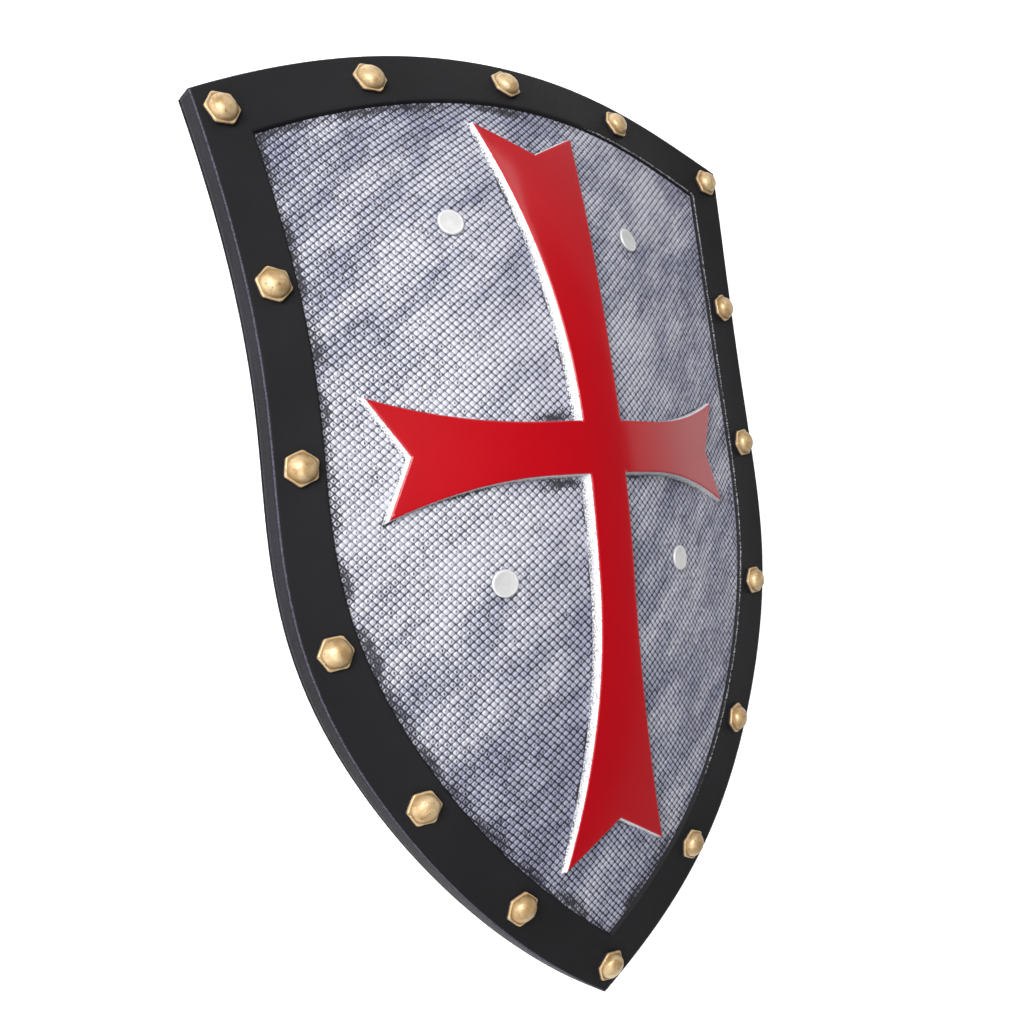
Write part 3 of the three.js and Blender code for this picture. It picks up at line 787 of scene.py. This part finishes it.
def mail_wear_and_shade(x, y, field_room, cross_room):
    """Unpainted foam with painted shade near the border, painted shadow along the cross's foot and painted
    shade in two corners beside it, and painted light on the left middle that turns darker towards the bottom.
    """
    border_dark_side = 1 - 0.75 * smooth(x, 10, 80)
    ragged = 2.2 * np.sin(x / 9.1 + 2 * np.sin(y / 14)) + 1.6 * np.sin(y / 5.3 + x / 17)
    # Near the border the silver thins out, and this band is also painted shade beside the border, stronger on
    # the left.
    bare_and_shade = 0.75 * border_dark_side * (1 - smooth(field_room + ragged, 0.8, 8.5))
    # Painted shadow: a dark band along the foot of the cross.
    bare_and_shade = np.maximum(bare_and_shade, 0.95 * (1 - smooth(cross_room + 0.3 * ragged, 0.4, 2.6)))
    # Painted shade: two dark patches where the left arm meets the post, one below the arm and one above it.
    for corner_shade_y in CORNER_SHADES_Y:
        bare_and_shade = np.maximum(bare_and_shade, 0.85 * spot(x, y, (CORNER_SHADE_X, corner_shade_y), (14, 3.5)))
    # Painted light: the load adds a pool of light on the left middle, and it turns darker towards the bottom
    # and the lower left.
    load = 1.5 * spot(x, y, (-120, 30), (75, 105)) - 0.35 * smooth(-y, 60, 210)
    return bare_and_shade, load - 0.30 * spot(x, y, (-75, -140), (60, 70))


def mail_piece(name, cell):
    """The bumps of one stretch of the field as one mesh: flatter near edges, with soft folds on the right."""
    rows, shape, dimple = mail_patch(cell)
    plan = plan_from_rows(rows)
    x, y = plan[..., 0], plan[..., 1]
    field_room, cross_room = read_table(FIELD_ROOM, plan), -read_table(CROSS_ROOM, plan)
    keep = smooth(np.minimum(field_room - 0.8, cross_room), -0.2, 3.6)
    folds = np.exp(-((y + 25) / 70) ** 2) * smooth(x, 55, 95) * np.sin((x + 0.2 * y) / 4.4)
    height = MAIL_FLOOR + RELIEF * shape * (0.2 + 0.8 * keep) + 0.25 * (1 - keep) + 0.6 * folds * keep
    bare_and_shade, load = mail_wear_and_shade(x, y, field_room, cross_room)
    dimple = dimple * (1 - 0.65 * smooth(x, -130, -20))
    values = {"relief": shape, "dimple": dimple, "bare_and_shade": bare_and_shade, "flattened": 1 - keep, "load": load}
    faces, first = shared_faces(rows)
    values = {key: value.reshape(-1)[first] for key, value in values.items()}
    return build(name, laid(plan, height).reshape(-1, 3)[first], faces, values)


# %% Mail paint
mail_silver, tree, shader, where = new_material("mail_silver")
looks = brushed(tree, where, cloud_scale=15.0, grain_scale=1000.0, speck_scale=600.0, speck_amount=0.3)
relief, dimple, bare_and_shade = stored(tree, "relief"), stored(tree, "dimple"), stored(tree, "bare_and_shade")
flattened = stored(tree, "flattened")
stroke_way = {"Vector": where, "Rotation": (0, 0, -0.9), "Scale": (1.0, 3.2, 1.0)}
slanted = node(tree, "ShaderNodeMapping", stroke_way, vector_type="TEXTURE")
strokes = band(tree, noise(tree, slanted.outputs["Vector"], 46.0, 4.0, 0.6), 0.34, 0.66)
wash_and_painted_light = plus(tree, calc(tree, "MULTIPLY", looks["Cloud"], 0.36), strokes, 0.46)
# The load value brings in the painted light on the left middle and the darker lower part.
wash_and_painted_light = plus(tree, wash_and_painted_light, stored(tree, "load"), 0.42)
silver_light_and_shade = plus(tree, relief, flattened, 0.45)
silver_light_and_shade = plus(tree, silver_light_and_shade, wash_and_painted_light, 0.30)
silver_light_and_shade = calc(tree, "ADD", silver_light_and_shade, swing(tree, looks, 0.45))
silver_light_and_shade = calc(tree, "SUBTRACT", silver_light_and_shade, dimple)
# Unpainted foam, painted shade and painted shadow take the silver away here.
silver_light_and_shade = plus(tree, silver_light_and_shade, bare_and_shade, -1.05)
cover_light_and_shade = band(tree, silver_light_and_shade, 0.14, 0.92)
# The thin coat's strong blue tint is partly a painted sheen, which shows most on the right, where the silver
# is thin.
thin_coat_and_sheen = mixed(tree, cover_light_and_shade, (0.013, 0.013, 0.018, 1), (0.268, 0.276, 0.382, 1))
thick = mixed(tree, cover_light_and_shade, (0.036, 0.036, 0.046, 1), (0.500, 0.503, 0.570, 1))
tree.links.new(mixed(tree, band(tree, wash_and_painted_light, 0.0, 0.9), thin_coat_and_sheen, thick), shader.inputs["Base Color"])
tree.links.new(calc(tree, "MULTIPLY", cover_light_and_shade, 0.22), shader.inputs["Metallic"])
tree.links.new(band(tree, cover_light_and_shade, 0.0, 1.0, 0.64, 0.46), shader.inputs["Roughness"])
tree.links.new(bumped(tree, looks["Grain"], 0.25, 0.0002), shader.inputs["Normal"])
shader.inputs["Specular IOR Level"].default_value = 0.35
print("made", mail_silver.name)

# %% Mail pieces
BANDS = {"upper": (90.0, 400.0), "middle": (-60.0, 90.0), "lower": (-400.0, -60.0)}
for band_name, (low, high) in BANDS.items():
    for side_name, right in (("left", False), ("right", True)):
        picked = (centres[:, 1] >= low) & (centres[:, 1] < high) & ((centres[:, 0] >= 0) == right)
        piece = mail_piece(f"mail_{band_name}_{side_name}", cells[picked])
        finish_piece(piece, mail_silver, "mail_silver")

# %% [markdown]
# ## Cross, walls and top
# The walls and the rounded upper edge are rings of the outline, each a little further in and up.
# The flat top is filled between the last ring and points spread over it, so that it bends with the
# front. The distance down from the top is stored for the paint: red above, silver on the walls.

# %% Cross paint
RED = (0.325, 0.0004, 0.0045, 1)

cross_red, tree, shader, where = new_material("cross_red")
looks = brushed(tree, where, cloud_scale=20.0, grain_scale=900.0, speck_scale=620.0, speck_amount=0.55)
down = stored(tree, "down")
is_red = band(tree, calc(tree, "ADD", down, swing(tree, looks, 1.3)), 0.75, 1.05, 1.0, 0.0)
mottle = calc(tree, "ADD", looks["Grain"], band(tree, down, 2.2, 9.2, 0.0, 0.30))
dark = calc(tree, "MAXIMUM", band(tree, mottle, 0.64, 0.92), calc(tree, "MULTIPLY", looks["Specks"], 0.5))
silver_wall = mixed(tree, looks["Cloud"], (0.60, 0.60, 0.64, 1), (0.80, 0.80, 0.83, 1))
wall_colour = mixed(tree, dark, silver_wall, (0.030, 0.030, 0.036, 1))
red = mixed(tree, looks["Cloud"], RED, (0.345, 0.0006, 0.0052, 1))
red = mixed(tree, band(tree, down, 0.02, 0.35, 0.0, 0.5), red, (0.40, 0.022, 0.026, 1))
tree.links.new(mixed(tree, is_red, wall_colour, red), shader.inputs["Base Color"])
tree.links.new(band(tree, is_red, 0.0, 1.0, 0.55, 0.40), shader.inputs["Roughness"])
tree.links.new(calc(tree, "MULTIPLY", is_red, 0.5), shader.inputs["Coat Weight"])
shader.inputs["Specular IOR Level"].default_value = 0.12
shader.inputs["Coat Roughness"].default_value = 0.13
tree.links.new(bumped(tree, looks["Grain"], 0.10, 0.0002), shader.inputs["Normal"])
print("made", cross_red.name)

# %% Cross mesh
CROSS_FLAT, TOP_SPACING = CROSS_TOP - 0.05, 5.0
CROSS_PROFILE = [(1.2, -5.5), (1.2, -3.4), (0.8, -2.2), (0.45, -0.5), (0.25, 2.0), (0.12, 4.0), (0.0, 4.8),
                 (-0.12, 5.25), (-0.4, 5.62), (-0.9, 5.80), (-1.6, CROSS_FLAT)]

loops = [grown(CROSS, out) for out, _ in CROSS_PROFILE]
heights = [height for _, height in CROSS_PROFILE]
wall_points = np.concatenate([laid(loop, sunk(loop, height)) for loop, height in zip(loops, heights)])
count = len(CROSS)
faces = grid_faces(len(loops), count)
top_plan, top_faces = filled(loops[-1], TOP_SPACING)
offset = len(wall_points) - count
top_points = laid(top_plan, sunk(top_plan, CROSS_FLAT))
points = np.concatenate([wall_points[:offset], top_points])
faces += [[i + offset for i in face] for face in top_faces]
faces.append(list(range(count))[::-1])
wall_down = np.repeat(CROSS_TOP - np.array(heights[:-1]), count)
cross = build("cross", points, faces, {"down": np.concatenate([wall_down, np.zeros(len(top_points))])})
finish_piece(cross, cross_red, "cross_red")

# %% [markdown]
# ## Studs
# Each stud is cast as a six-sided plate with a high dome and painted gold on top, and each was set
# by hand, so it is turned a little its own way. A cylinder and a ball could be joined, but rows of
# points that follow a six-sided path on the plate and a round one on the dome leave no seam.

# %% Stud paint
GOLD = (0.36, 0.225, 0.095, 1)

stud_gold, tree, shader, where = new_material("stud_gold")
looks = brushed(tree, where, cloud_scale=110.0, grain_scale=1500.0, speck_scale=420.0, speck_amount=0.42)
rise, ring_dark, edge = stored(tree, "rise"), stored(tree, "ring_dark"), stored(tree, "edge")
gold = mixed(tree, looks["Cloud"], GOLD, (0.60, 0.450, 0.255, 1))
# Painted highlight: a lighter gold along the plate's rounded top edge.
gold = mixed(tree, calc(tree, "MULTIPLY", edge, 0.7), gold, (0.62, 0.47, 0.26, 1))
gold = mixed(tree, calc(tree, "MULTIPLY", ring_dark, 0.75), gold, (0.21, 0.105, 0.035, 1))
gold = mixed(tree, calc(tree, "MULTIPLY", looks["Specks"], 0.75), gold, (0.17, 0.085, 0.035, 1))
painted = band(tree, calc(tree, "ADD", rise, swing(tree, looks, 1.2)), 1.7, 2.2)
tree.links.new(mixed(tree, painted, (0.016, 0.014, 0.020, 1), gold), shader.inputs["Base Color"])
tree.links.new(calc(tree, "MULTIPLY", painted, 0.35), shader.inputs["Metallic"])
tree.links.new(band(tree, looks["Grain"], 0.3, 0.7, 0.34, 0.48), shader.inputs["Roughness"])
tree.links.new(bumped(tree, looks["Grain"], 0.3, 0.0003), shader.inputs["Normal"])
print("made", stud_gold.name)

# %% Stud places
STUD_ACROSS, PLATE_HIGH, DOME_RADIUS, DOME_HIGH = 21.4, 3.4, 7.9, 6.4
STUD_TOP_SPACING, STUD_PITCH, STUDS_ON_SIDE = 99.0, 101.2, 4
STUD_TURN, STUD_TURN_STEP = math.radians(29), 0.81

top, side = outline_half(0.5)
stops = [STUD_PITCH * (i + 1) for i in range(STUDS_ON_SIDE)]
stops.append((stops[-1] + running_length(side)[-1]) / 2)
right = [at_length(top, STUD_TOP_SPACING), side[0]] + [at_length(side, stop) for stop in stops]
stud_places = [top[0], side[-1]] + right + [point * [-1, 1] for point in right]
print(len(stud_places), "studs")

# %% Stud meshes
STUD_COLUMNS = 84
PLATE_PROFILE = [(1.0, -0.6, 0), (1.0, 0.5, 0), (0.99, 2.0, 0), (0.978, 2.9, 0.5), (0.958, 3.28, 1),
                 (0.925, PLATE_HIGH, 0.8)]
DOME_ANGLES = np.radians([0, 9, 20, 32, 44, 56, 68, 80])
DOME_DARK = (0.75, 0.25, 0.0, 0.0, 0.0, 0.0, 0.0, 0.0)


def stud_rows(turn, draw):
    """Radius, height, painted highlight on the edge and dark ring of each row: six-sided on the plate, round
    on the dome.
    """
    angle = np.linspace(0, 2 * math.pi, STUD_COLUMNS, endpoint=False)
    apothem = STUD_ACROSS / 2 * math.cos(math.pi / 6)
    six = apothem / np.cos((angle - turn) % (math.pi / 3) - math.pi / 6)
    uneven = 1 + 0.008 * np.sin(2 * angle + draw[0]) + 0.008 * np.sin(5 * angle + draw[1]) - 0.012
    six = np.minimum(six, STUD_ACROSS / 2 * 0.97) * uneven
    rows = [(six * share, high, edge, 0.0) for share, high, edge in PLATE_PROFILE]
    rows.append((np.minimum(six * 0.905, DOME_RADIUS + 0.9), PLATE_HIGH - 0.05, 0.1, 0.3))
    rows.append((np.full_like(angle, DOME_RADIUS + 0.12), PLATE_HIGH - 0.22, 0.0, 1.0))
    for lift, dark in zip(DOME_ANGLES, DOME_DARK):
        rows.append((np.full_like(angle, DOME_RADIUS * math.cos(lift)),
                     PLATE_HIGH + DOME_HIGH * math.sin(lift), 0.0, dark))
    return angle, rows


def stud_mesh(number, place):
    """One stud's points, faces and values: its rows laid on the front, a tip, and a flat foot."""
    angle, rows = stud_rows(-STUD_TURN * math.sin(STUD_TURN_STEP * number), rng.uniform(0, 6, 2))
    ways = np.stack([np.sin(angle), np.cos(angle)], axis=1)
    points = [laid(place + ways * radius[:, None], height) for radius, height, _, _ in rows]
    points.append(laid(place, PLATE_HIGH + DOME_HIGH)[None])
    last = (len(rows) - 1) * STUD_COLUMNS
    faces = grid_faces(len(rows), STUD_COLUMNS) + fan(last, STUD_COLUMNS, last + STUD_COLUMNS)
    faces.append(list(range(STUD_COLUMNS))[::-1])
    values = np.repeat([row[1:] for row in rows], STUD_COLUMNS, axis=0)
    return np.concatenate(points), faces, np.concatenate([values, [[PLATE_HIGH + DOME_HIGH, 0.0, 0.0]]])


points, faces, values = joined([stud_mesh(number, place) for number, place in enumerate(stud_places)])
studs = build("studs", points, faces, {"rise": values[:, 0], "edge": values[:, 1], "ring_dark": values[:, 2]})
finish_piece(studs, stud_gold, "stud_gold")

# %% [markdown]
# ## Rivets
# Each rivet is a flat satin cap with a thin raised rim, a shank through the foam, and a washer head
# behind the strap. It is one profile turned about the shank, set square to the bowed front.

# %% Rivet steel
rivet_steel, tree, shader, where = new_material("rivet_steel")
looks = brushed(tree, where, cloud_scale=160.0, grain_scale=2200.0, speck_scale=500.0, speck_amount=0.2)
steel = mixed(tree, looks["Cloud"], (0.54, 0.535, 0.54, 1), (0.60, 0.595, 0.60, 1))
# Painted highlight: the raised rims of cap and head are a lighter steel.
steel = mixed(tree, calc(tree, "MULTIPLY", stored(tree, "lip_highlight"), 0.4), steel, (0.72, 0.72, 0.73, 1))
# Painted shade: the steel is darker under the cap, round the shank, where the head meets the strap and in the
# head's middle hollow.
steel = mixed(tree, stored(tree, "under"), steel, (0.10, 0.10, 0.105, 1))
tree.links.new(steel, shader.inputs["Base Color"])
shader.inputs["Metallic"].default_value = 0.3
tree.links.new(band(tree, looks["Grain"], 0.3, 0.7, 0.36, 0.48), shader.inputs["Roughness"])
tree.links.new(bumped(tree, looks["Grain"], 0.2, 0.0002), shader.inputs["Normal"])
print("made", rivet_steel.name)

# %% Rivet meshes
CAP_RADIUS, CAP_THICK, SHANK, HEAD_RADIUS, HEAD_THICK, ROUND = 8.2, 2.0, 3.0, 7.5, 1.6, 48


def rivet_profile(seat):
    """Radius, height, painted highlight on the rims and painted shade underneath, from the cap's middle round
    to the head's middle.
    """
    top, under = GAP + CAP_THICK - 0.05, GAP
    head_top = seat - STRAP_THICK - 2 * GAP
    head_low = head_top - HEAD_THICK
    cap = [(3.0, top - 0.12, 0, 0), (6.4, top - 0.10, 0, 0), (6.9, top - 0.02, 0.8, 0), (7.5, top, 1, 0),
           (7.95, top - 0.18, 1, 0), (8.17, top - 0.55, 0.2, 0), (CAP_RADIUS, under + 0.45, 0, 0.5),
           (8.0, under, 0, 1), (SHANK, under, 0, 1)]
    head = [(SHANK, head_top, 0, 1), (7.2, head_top, 0, 1), (HEAD_RADIUS, head_top - 0.35, 0, 0.3),
            (HEAD_RADIUS, head_low + 0.5, 0, 0), (7.2, head_low + 0.1, 1, 0), (6.6, head_low, 0.3, 0),
            (4.2, head_low + 0.05, 0, 0), (3.6, head_low + 0.4, 0, 0.6), (3.0, head_low + 0.5, 0, 0.2)]
    return (0.0, top - 0.12, 0, 0), cap + head, (0.0, head_low + 0.5, 0, 0)


def rivet_mesh(x, y):
    """One rivet's points, faces and values: its profile turned about the normal at its place."""
    origin, normal, seat = rivet_frame(x, y)
    first, profile, last = rivet_profile(seat)
    across = np.cross([0.0, 1.0, 0.0], normal)
    across /= np.linalg.norm(across)
    up = np.cross(normal, across)
    angle = np.linspace(0, 2 * math.pi, ROUND, endpoint=False)[:, None]
    ways = np.cos(angle) * across + np.sin(angle) * up
    rings = [origin + ways * radius + normal * height for radius, height, _, _ in profile]
    points = np.concatenate([[origin + normal * first[1]], *rings, [origin + normal * last[1]]])
    end = 1 + (len(profile) - 1) * ROUND
    faces = grid_faces(len(profile), ROUND, 1)
    faces += [face[::-1] for face in fan(1, ROUND, 0)]
    faces += fan(end, ROUND, end + ROUND)
    values = [first[2:]] + [row[2:] for row in profile for _ in range(ROUND)] + [last[2:]]
    return (points + PLAN_TO_FRAME) / 1000, faces, np.array(values, dtype=float)


points, faces, values = joined([rivet_mesh(*place) for place in RIVETS])
rivets = build("rivets", points, faces, {"lip_highlight": values[:, 0], "under": values[:, 1]})
finish_piece(rivets, rivet_steel, "rivet_steel", *[n for n in frame["nodes"] if n.startswith("rivet_")])

# %% [markdown]
# ## Arm straps
# Black webbing, two loops. The middle line runs flat under a rivet head, bends, hangs in a slack
# curve and comes back: a cubic curve does that as the real strap would. A flat section with rounded
# selvedges is carried along it. The weave follows the strap, since it is worked out from the length
# along it and the distance across it, both stored on the points.

# %% Webbing
strap_webbing, tree, shader, where = new_material("strap_webbing")
along, across, raw_end = stored(tree, "along"), stored(tree, "across"), stored(tree, "raw_end")


def wave(tree, value, period):
    """A sine of a value with a period in millimetres, from 0 to 1."""
    turn = calc(tree, "SINE", calc(tree, "MULTIPLY", value, 2 * math.pi / period))
    return calc(tree, "ADD", calc(tree, "MULTIPLY", turn, 0.5), 0.5)


folded = calc(tree, "ABSOLUTE", calc(tree, "SUBTRACT", calc(tree, "PINGPONG", across, 4.8), 2.4))
chevron = wave(tree, plus(tree, along, folded, 1.3), 1.7)
cords = wave(tree, across, 1.2)
weave = plus(tree, calc(tree, "MULTIPLY", chevron, 0.7), cords, 0.3)
selvedge = band(tree, calc(tree, "ABSOLUTE", across), 16.6, 17.2)
inner_weave = calc(tree, "MULTIPLY", weave, calc(tree, "SUBTRACT", 1.0, selvedge))
weave = plus(tree, inner_weave, wave(tree, along, 1.3), selvedge)
fuzz = noise(tree, where, 900.0, 3.0, 0.6)
thread = mixed(tree, weave, (0.006, 0.006, 0.0065, 1), (0.030, 0.030, 0.032, 1))
thread = mixed(tree, calc(tree, "MULTIPLY", fuzz, 0.5), thread, (0.035, 0.034, 0.034, 1))
tree.links.new(mixed(tree, raw_end, thread, (0.008, 0.008, 0.008, 1)), shader.inputs["Base Color"])
tree.links.new(band(tree, raw_end, 0.0, 1.0, 0.82, 0.4), shader.inputs["Roughness"])
tree.links.new(bumped(tree, weave, 0.9, 0.0004), shader.inputs["Normal"])
shader.inputs["Specular IOR Level"].default_value = 0.3
print("made", strap_webbing.name)

# %% Strap meshes
STRAP_FLAT, HALF_WIDE, HALF_THICK = 26.0, STRAP_WIDTH / 2, STRAP_THICK / 2
TAB_STEPS, LOOP_STEPS, FLAT_STEPS = 10, 40, 17
STRAPS = (("upper", UPPER_Y, 27.0), ("lower", LOWER_Y, 38.0))


def strap_mesh(y, bow):
    """One strap: a rounded flat section carried along the loop, then tipped with the shield's length."""
    seat, tip, slope = strap_frame(RIVET_X, y)
    inward = np.array([-math.cos(slope), -math.sin(slope)])
    off = np.array([-math.sin(slope), math.cos(slope)])
    centre = np.array([seat[0], 0.0]) - off * (GAP + HALF_THICK)
    outer, inner = centre - inward * TAB_OUTER, centre + inward * TAB_INNER
    tab = outer + (inner - outer) * np.linspace(0, 1, TAB_STEPS)[:, None]
    slack, middle = np.array([STRAP_FLAT, -bow]), np.array([0.0, -bow])
    loop = bezier(inner, inner + inward * STRAP_BEND, slack, middle, LOOP_STEPS)
    right = np.concatenate([tab, loop[1:]])
    line = np.concatenate([right, right[-2::-1] * [-1, 1]])
    way = np.gradient(line, axis=0)
    way /= np.linalg.norm(way, axis=1, keepdims=True)
    lift = np.stack([-way[:, 1], way[:, 0]], axis=1)
    run = running_length(line)
    flat = np.linspace(-HALF_WIDE + 1.0, HALF_WIDE - 1.0, FLAT_STEPS)
    edge = [(HALF_WIDE - 0.3, HALF_THICK * 0.72), (HALF_WIDE, 0.0), (HALF_WIDE - 0.3, -HALF_THICK * 0.72)]
    section = [(b, HALF_THICK) for b in flat] + edge + [(b, -HALF_THICK) for b in flat[::-1]]
    section = np.array(section + [(-b, h) for b, h in edge[::-1]])
    b, h = section[:, 0][None], section[:, 1][None]
    x = line[:, :1] + lift[:, :1] * h
    z = line[:, 1:] + lift[:, 1:] * h
    points = np.stack([x, b * math.cos(tip) - z * math.sin(tip) + seat[1],
                       b * math.sin(tip) + z * math.cos(tip) + seat[2]], axis=-1)
    size = len(section)
    faces = grid_faces(len(line), size)
    faces.append(list(range(size))[::-1])
    faces.append(list(range((len(line) - 1) * size, len(line) * size)))
    ends = np.minimum(run, run[-1] - run)[:, None] + 0 * b
    values = np.stack([run[:, None] + 0 * b, b + 0 * run[:, None], 1 - smooth(ends, 0.2, 1.6)], axis=-1)
    return (points.reshape(-1, 3) + PLAN_TO_FRAME) / 1000, faces, values.reshape(-1, 3)


straps = []
for strap_name, y, bow in STRAPS:
    points, faces, values = strap_mesh(y, bow)
    made = build(f"webbing_{strap_name}", points, faces,
                 {"along": values[:, 0], "across": values[:, 1], "raw_end": values[:, 2]})
    finish_piece(made, strap_webbing, "strap_webbing", f"strap_{strap_name}")
    straps.append(made)

# %% [markdown]
# ## Facing outwards
# Grids can come out inside out. Each closed mesh is checked by its signed volume: the sum over its
# triangles of the corner vectors' triple product, which is negative when faces point inwards.

# %% Turn faces outwards
def signed_volume(mesh):
    """A sixth of the summed triple products of the mesh's triangles."""
    mesh.calc_loop_triangles()
    corners = np.empty(len(mesh.loop_triangles) * 3, dtype=np.int32)
    mesh.loop_triangles.foreach_get("vertices", corners)
    places = np.empty(len(mesh.vertices) * 3)
    mesh.vertices.foreach_get("co", places)
    a, b, c = places.reshape(-1, 3)[corners.reshape(-1, 3)].transpose(1, 0, 2)
    return float((a * np.cross(b, c)).sum() / 6)


for piece in (shell, cross, studs, rivets, *straps):
    if signed_volume(piece.data) < 0:
        piece.data.flip_normals()
    print(piece.name, "volume", round(signed_volume(piece.data) * 1e6, 1), "cm3")

for piece in [o for o in bpy.data.objects if o.name.startswith("mail_")]:
    upward = np.empty(len(piece.data.polygons) * 3)
    piece.data.polygons.foreach_get("normal", upward)
    if upward.reshape(-1, 3)[:, 2].mean() < 0:
        piece.data.flip_normals()

# %% [markdown]
# ## Camera, floor and light
# The camera was worked out from the studs, rivets and cross corners. It stands on the left, looks
# down on the lying shield, and is rolled so that the top edge is up in the picture. The floor is
# plain and pale. Three soft square lights shape the relief, and a dim room with one bright stretch
# of wall on the right gives the broad sheen on the red paint, which no small lamp would.

# %% Camera
CAMERA_PLACE = (-0.4185, -0.0132, 0.5523)
HEADING, DIP, ROLL = math.radians(3.36), math.radians(53.58), math.radians(80.17)
FOCAL_PIXELS, PICTURE = 1043.7, 1024


def camera_ways():
    """Right, up and forward: forward by heading and dip, and level and upright turned about it by the roll."""
    forward = np.array([math.cos(DIP) * math.cos(HEADING), math.cos(DIP) * math.sin(HEADING), -math.sin(DIP)])
    level = np.array([math.sin(HEADING), -math.cos(HEADING), 0.0])
    upright = np.cross(level, forward)
    right = level * math.cos(ROLL) + upright * math.sin(ROLL)
    return right, upright * math.cos(ROLL) - level * math.sin(ROLL), forward


camera_data = bpy.data.cameras.new("camera")
camera_data.sensor_width = 36.0
camera_data.lens = FOCAL_PIXELS / PICTURE * camera_data.sensor_width
camera_data.clip_start, camera_data.clip_end = 0.01, 50.0
camera = bpy.data.objects.new("camera", camera_data)
right, up, forward = camera_ways()
turned = Matrix(np.stack([right, up, -forward], axis=1).tolist())
camera.matrix_world = Matrix.Translation(CAMERA_PLACE) @ turned.to_4x4()
bpy.context.scene.collection.objects.link(camera)
bpy.context.scene.camera = camera
print("camera at", CAMERA_PLACE, "lens", round(camera_data.lens, 1))

# %% Floor
floor_mesh = bpy.data.meshes.new("floor")
floor_mesh.from_pydata([(-6, -6, 0), (6, -6, 0), (6, 6, 0), (-6, 6, 0)], [], [(0, 1, 2, 3)])
floor = bpy.data.objects.new("floor", floor_mesh)
bpy.context.scene.collection.objects.link(floor)
floor_pale, tree, shader, where = new_material("floor_pale")
tree.links.new(mixed(tree, noise(tree, where, 3.0), (0.93, 0.93, 0.93, 1), (0.95, 0.95, 0.95, 1)),
               shader.inputs["Base Color"])
shader.inputs["Roughness"].default_value = 0.9
shader.inputs["Emission Color"].default_value = (1, 1, 1, 1)
shader.inputs["Emission Strength"].default_value = 0.45
floor_mesh.materials.append(floor_pale)

# %% Lights
def soft_light(name, place, target, size, power):
    """A square area light that faces a target."""
    data = bpy.data.lights.new(name, "AREA")
    data.shape, data.size, data.energy = "SQUARE", size, power
    lamp = bpy.data.objects.new(name, data)
    lamp.location = place
    lamp.rotation_euler = (Vector(target) - Vector(place)).to_track_quat("-Z", "Y").to_euler()
    bpy.context.scene.collection.objects.link(lamp)


soft_light("key", (-1.9, 0.75, 1.9), (0, 0, 0), 1.5, 115)
soft_light("fill", (-1.6, -1.2, 1.7), (0, 0, 0), 1.5, 22)
soft_light("top", (0.7, 2.1, 1.8), (0, 0, 0), 1.2, 11)

# %% Room
ROOM_DIM = 0.08
world = bpy.data.worlds.new("studio")
world.use_nodes = True
tree = world.node_tree
room_way = tree.nodes.new("ShaderNodeTexCoord").outputs["Generated"]
way_out = node(tree, "ShaderNodeSeparateXYZ", {"Vector": room_way})
low_down = band(tree, calc(tree, "ABSOLUTE", way_out.outputs["Z"]), 0.50, 0.62, 1.0, 0.0)
to_right = band(tree, way_out.outputs["X"], 0.0, 0.6, 0.22, 1.0)
lengthwise = calc(tree, "MULTIPLY", band(tree, way_out.outputs["Y"], -0.36, -0.10, 0.2, 1.0),
                  band(tree, way_out.outputs["Y"], 0.12, 0.42, 1.0, 0.25))
tree.nodes["Background"].inputs["Color"].default_value = (1, 1, 1, 1)
panel = calc(tree, "MULTIPLY", calc(tree, "MULTIPLY", low_down, to_right), lengthwise)
tree.links.new(calc(tree, "ADD", panel, ROOM_DIM), tree.nodes["Background"].inputs["Strength"])
bpy.context.scene.world = world
bpy.context.scene.view_settings.view_transform = "Standard"
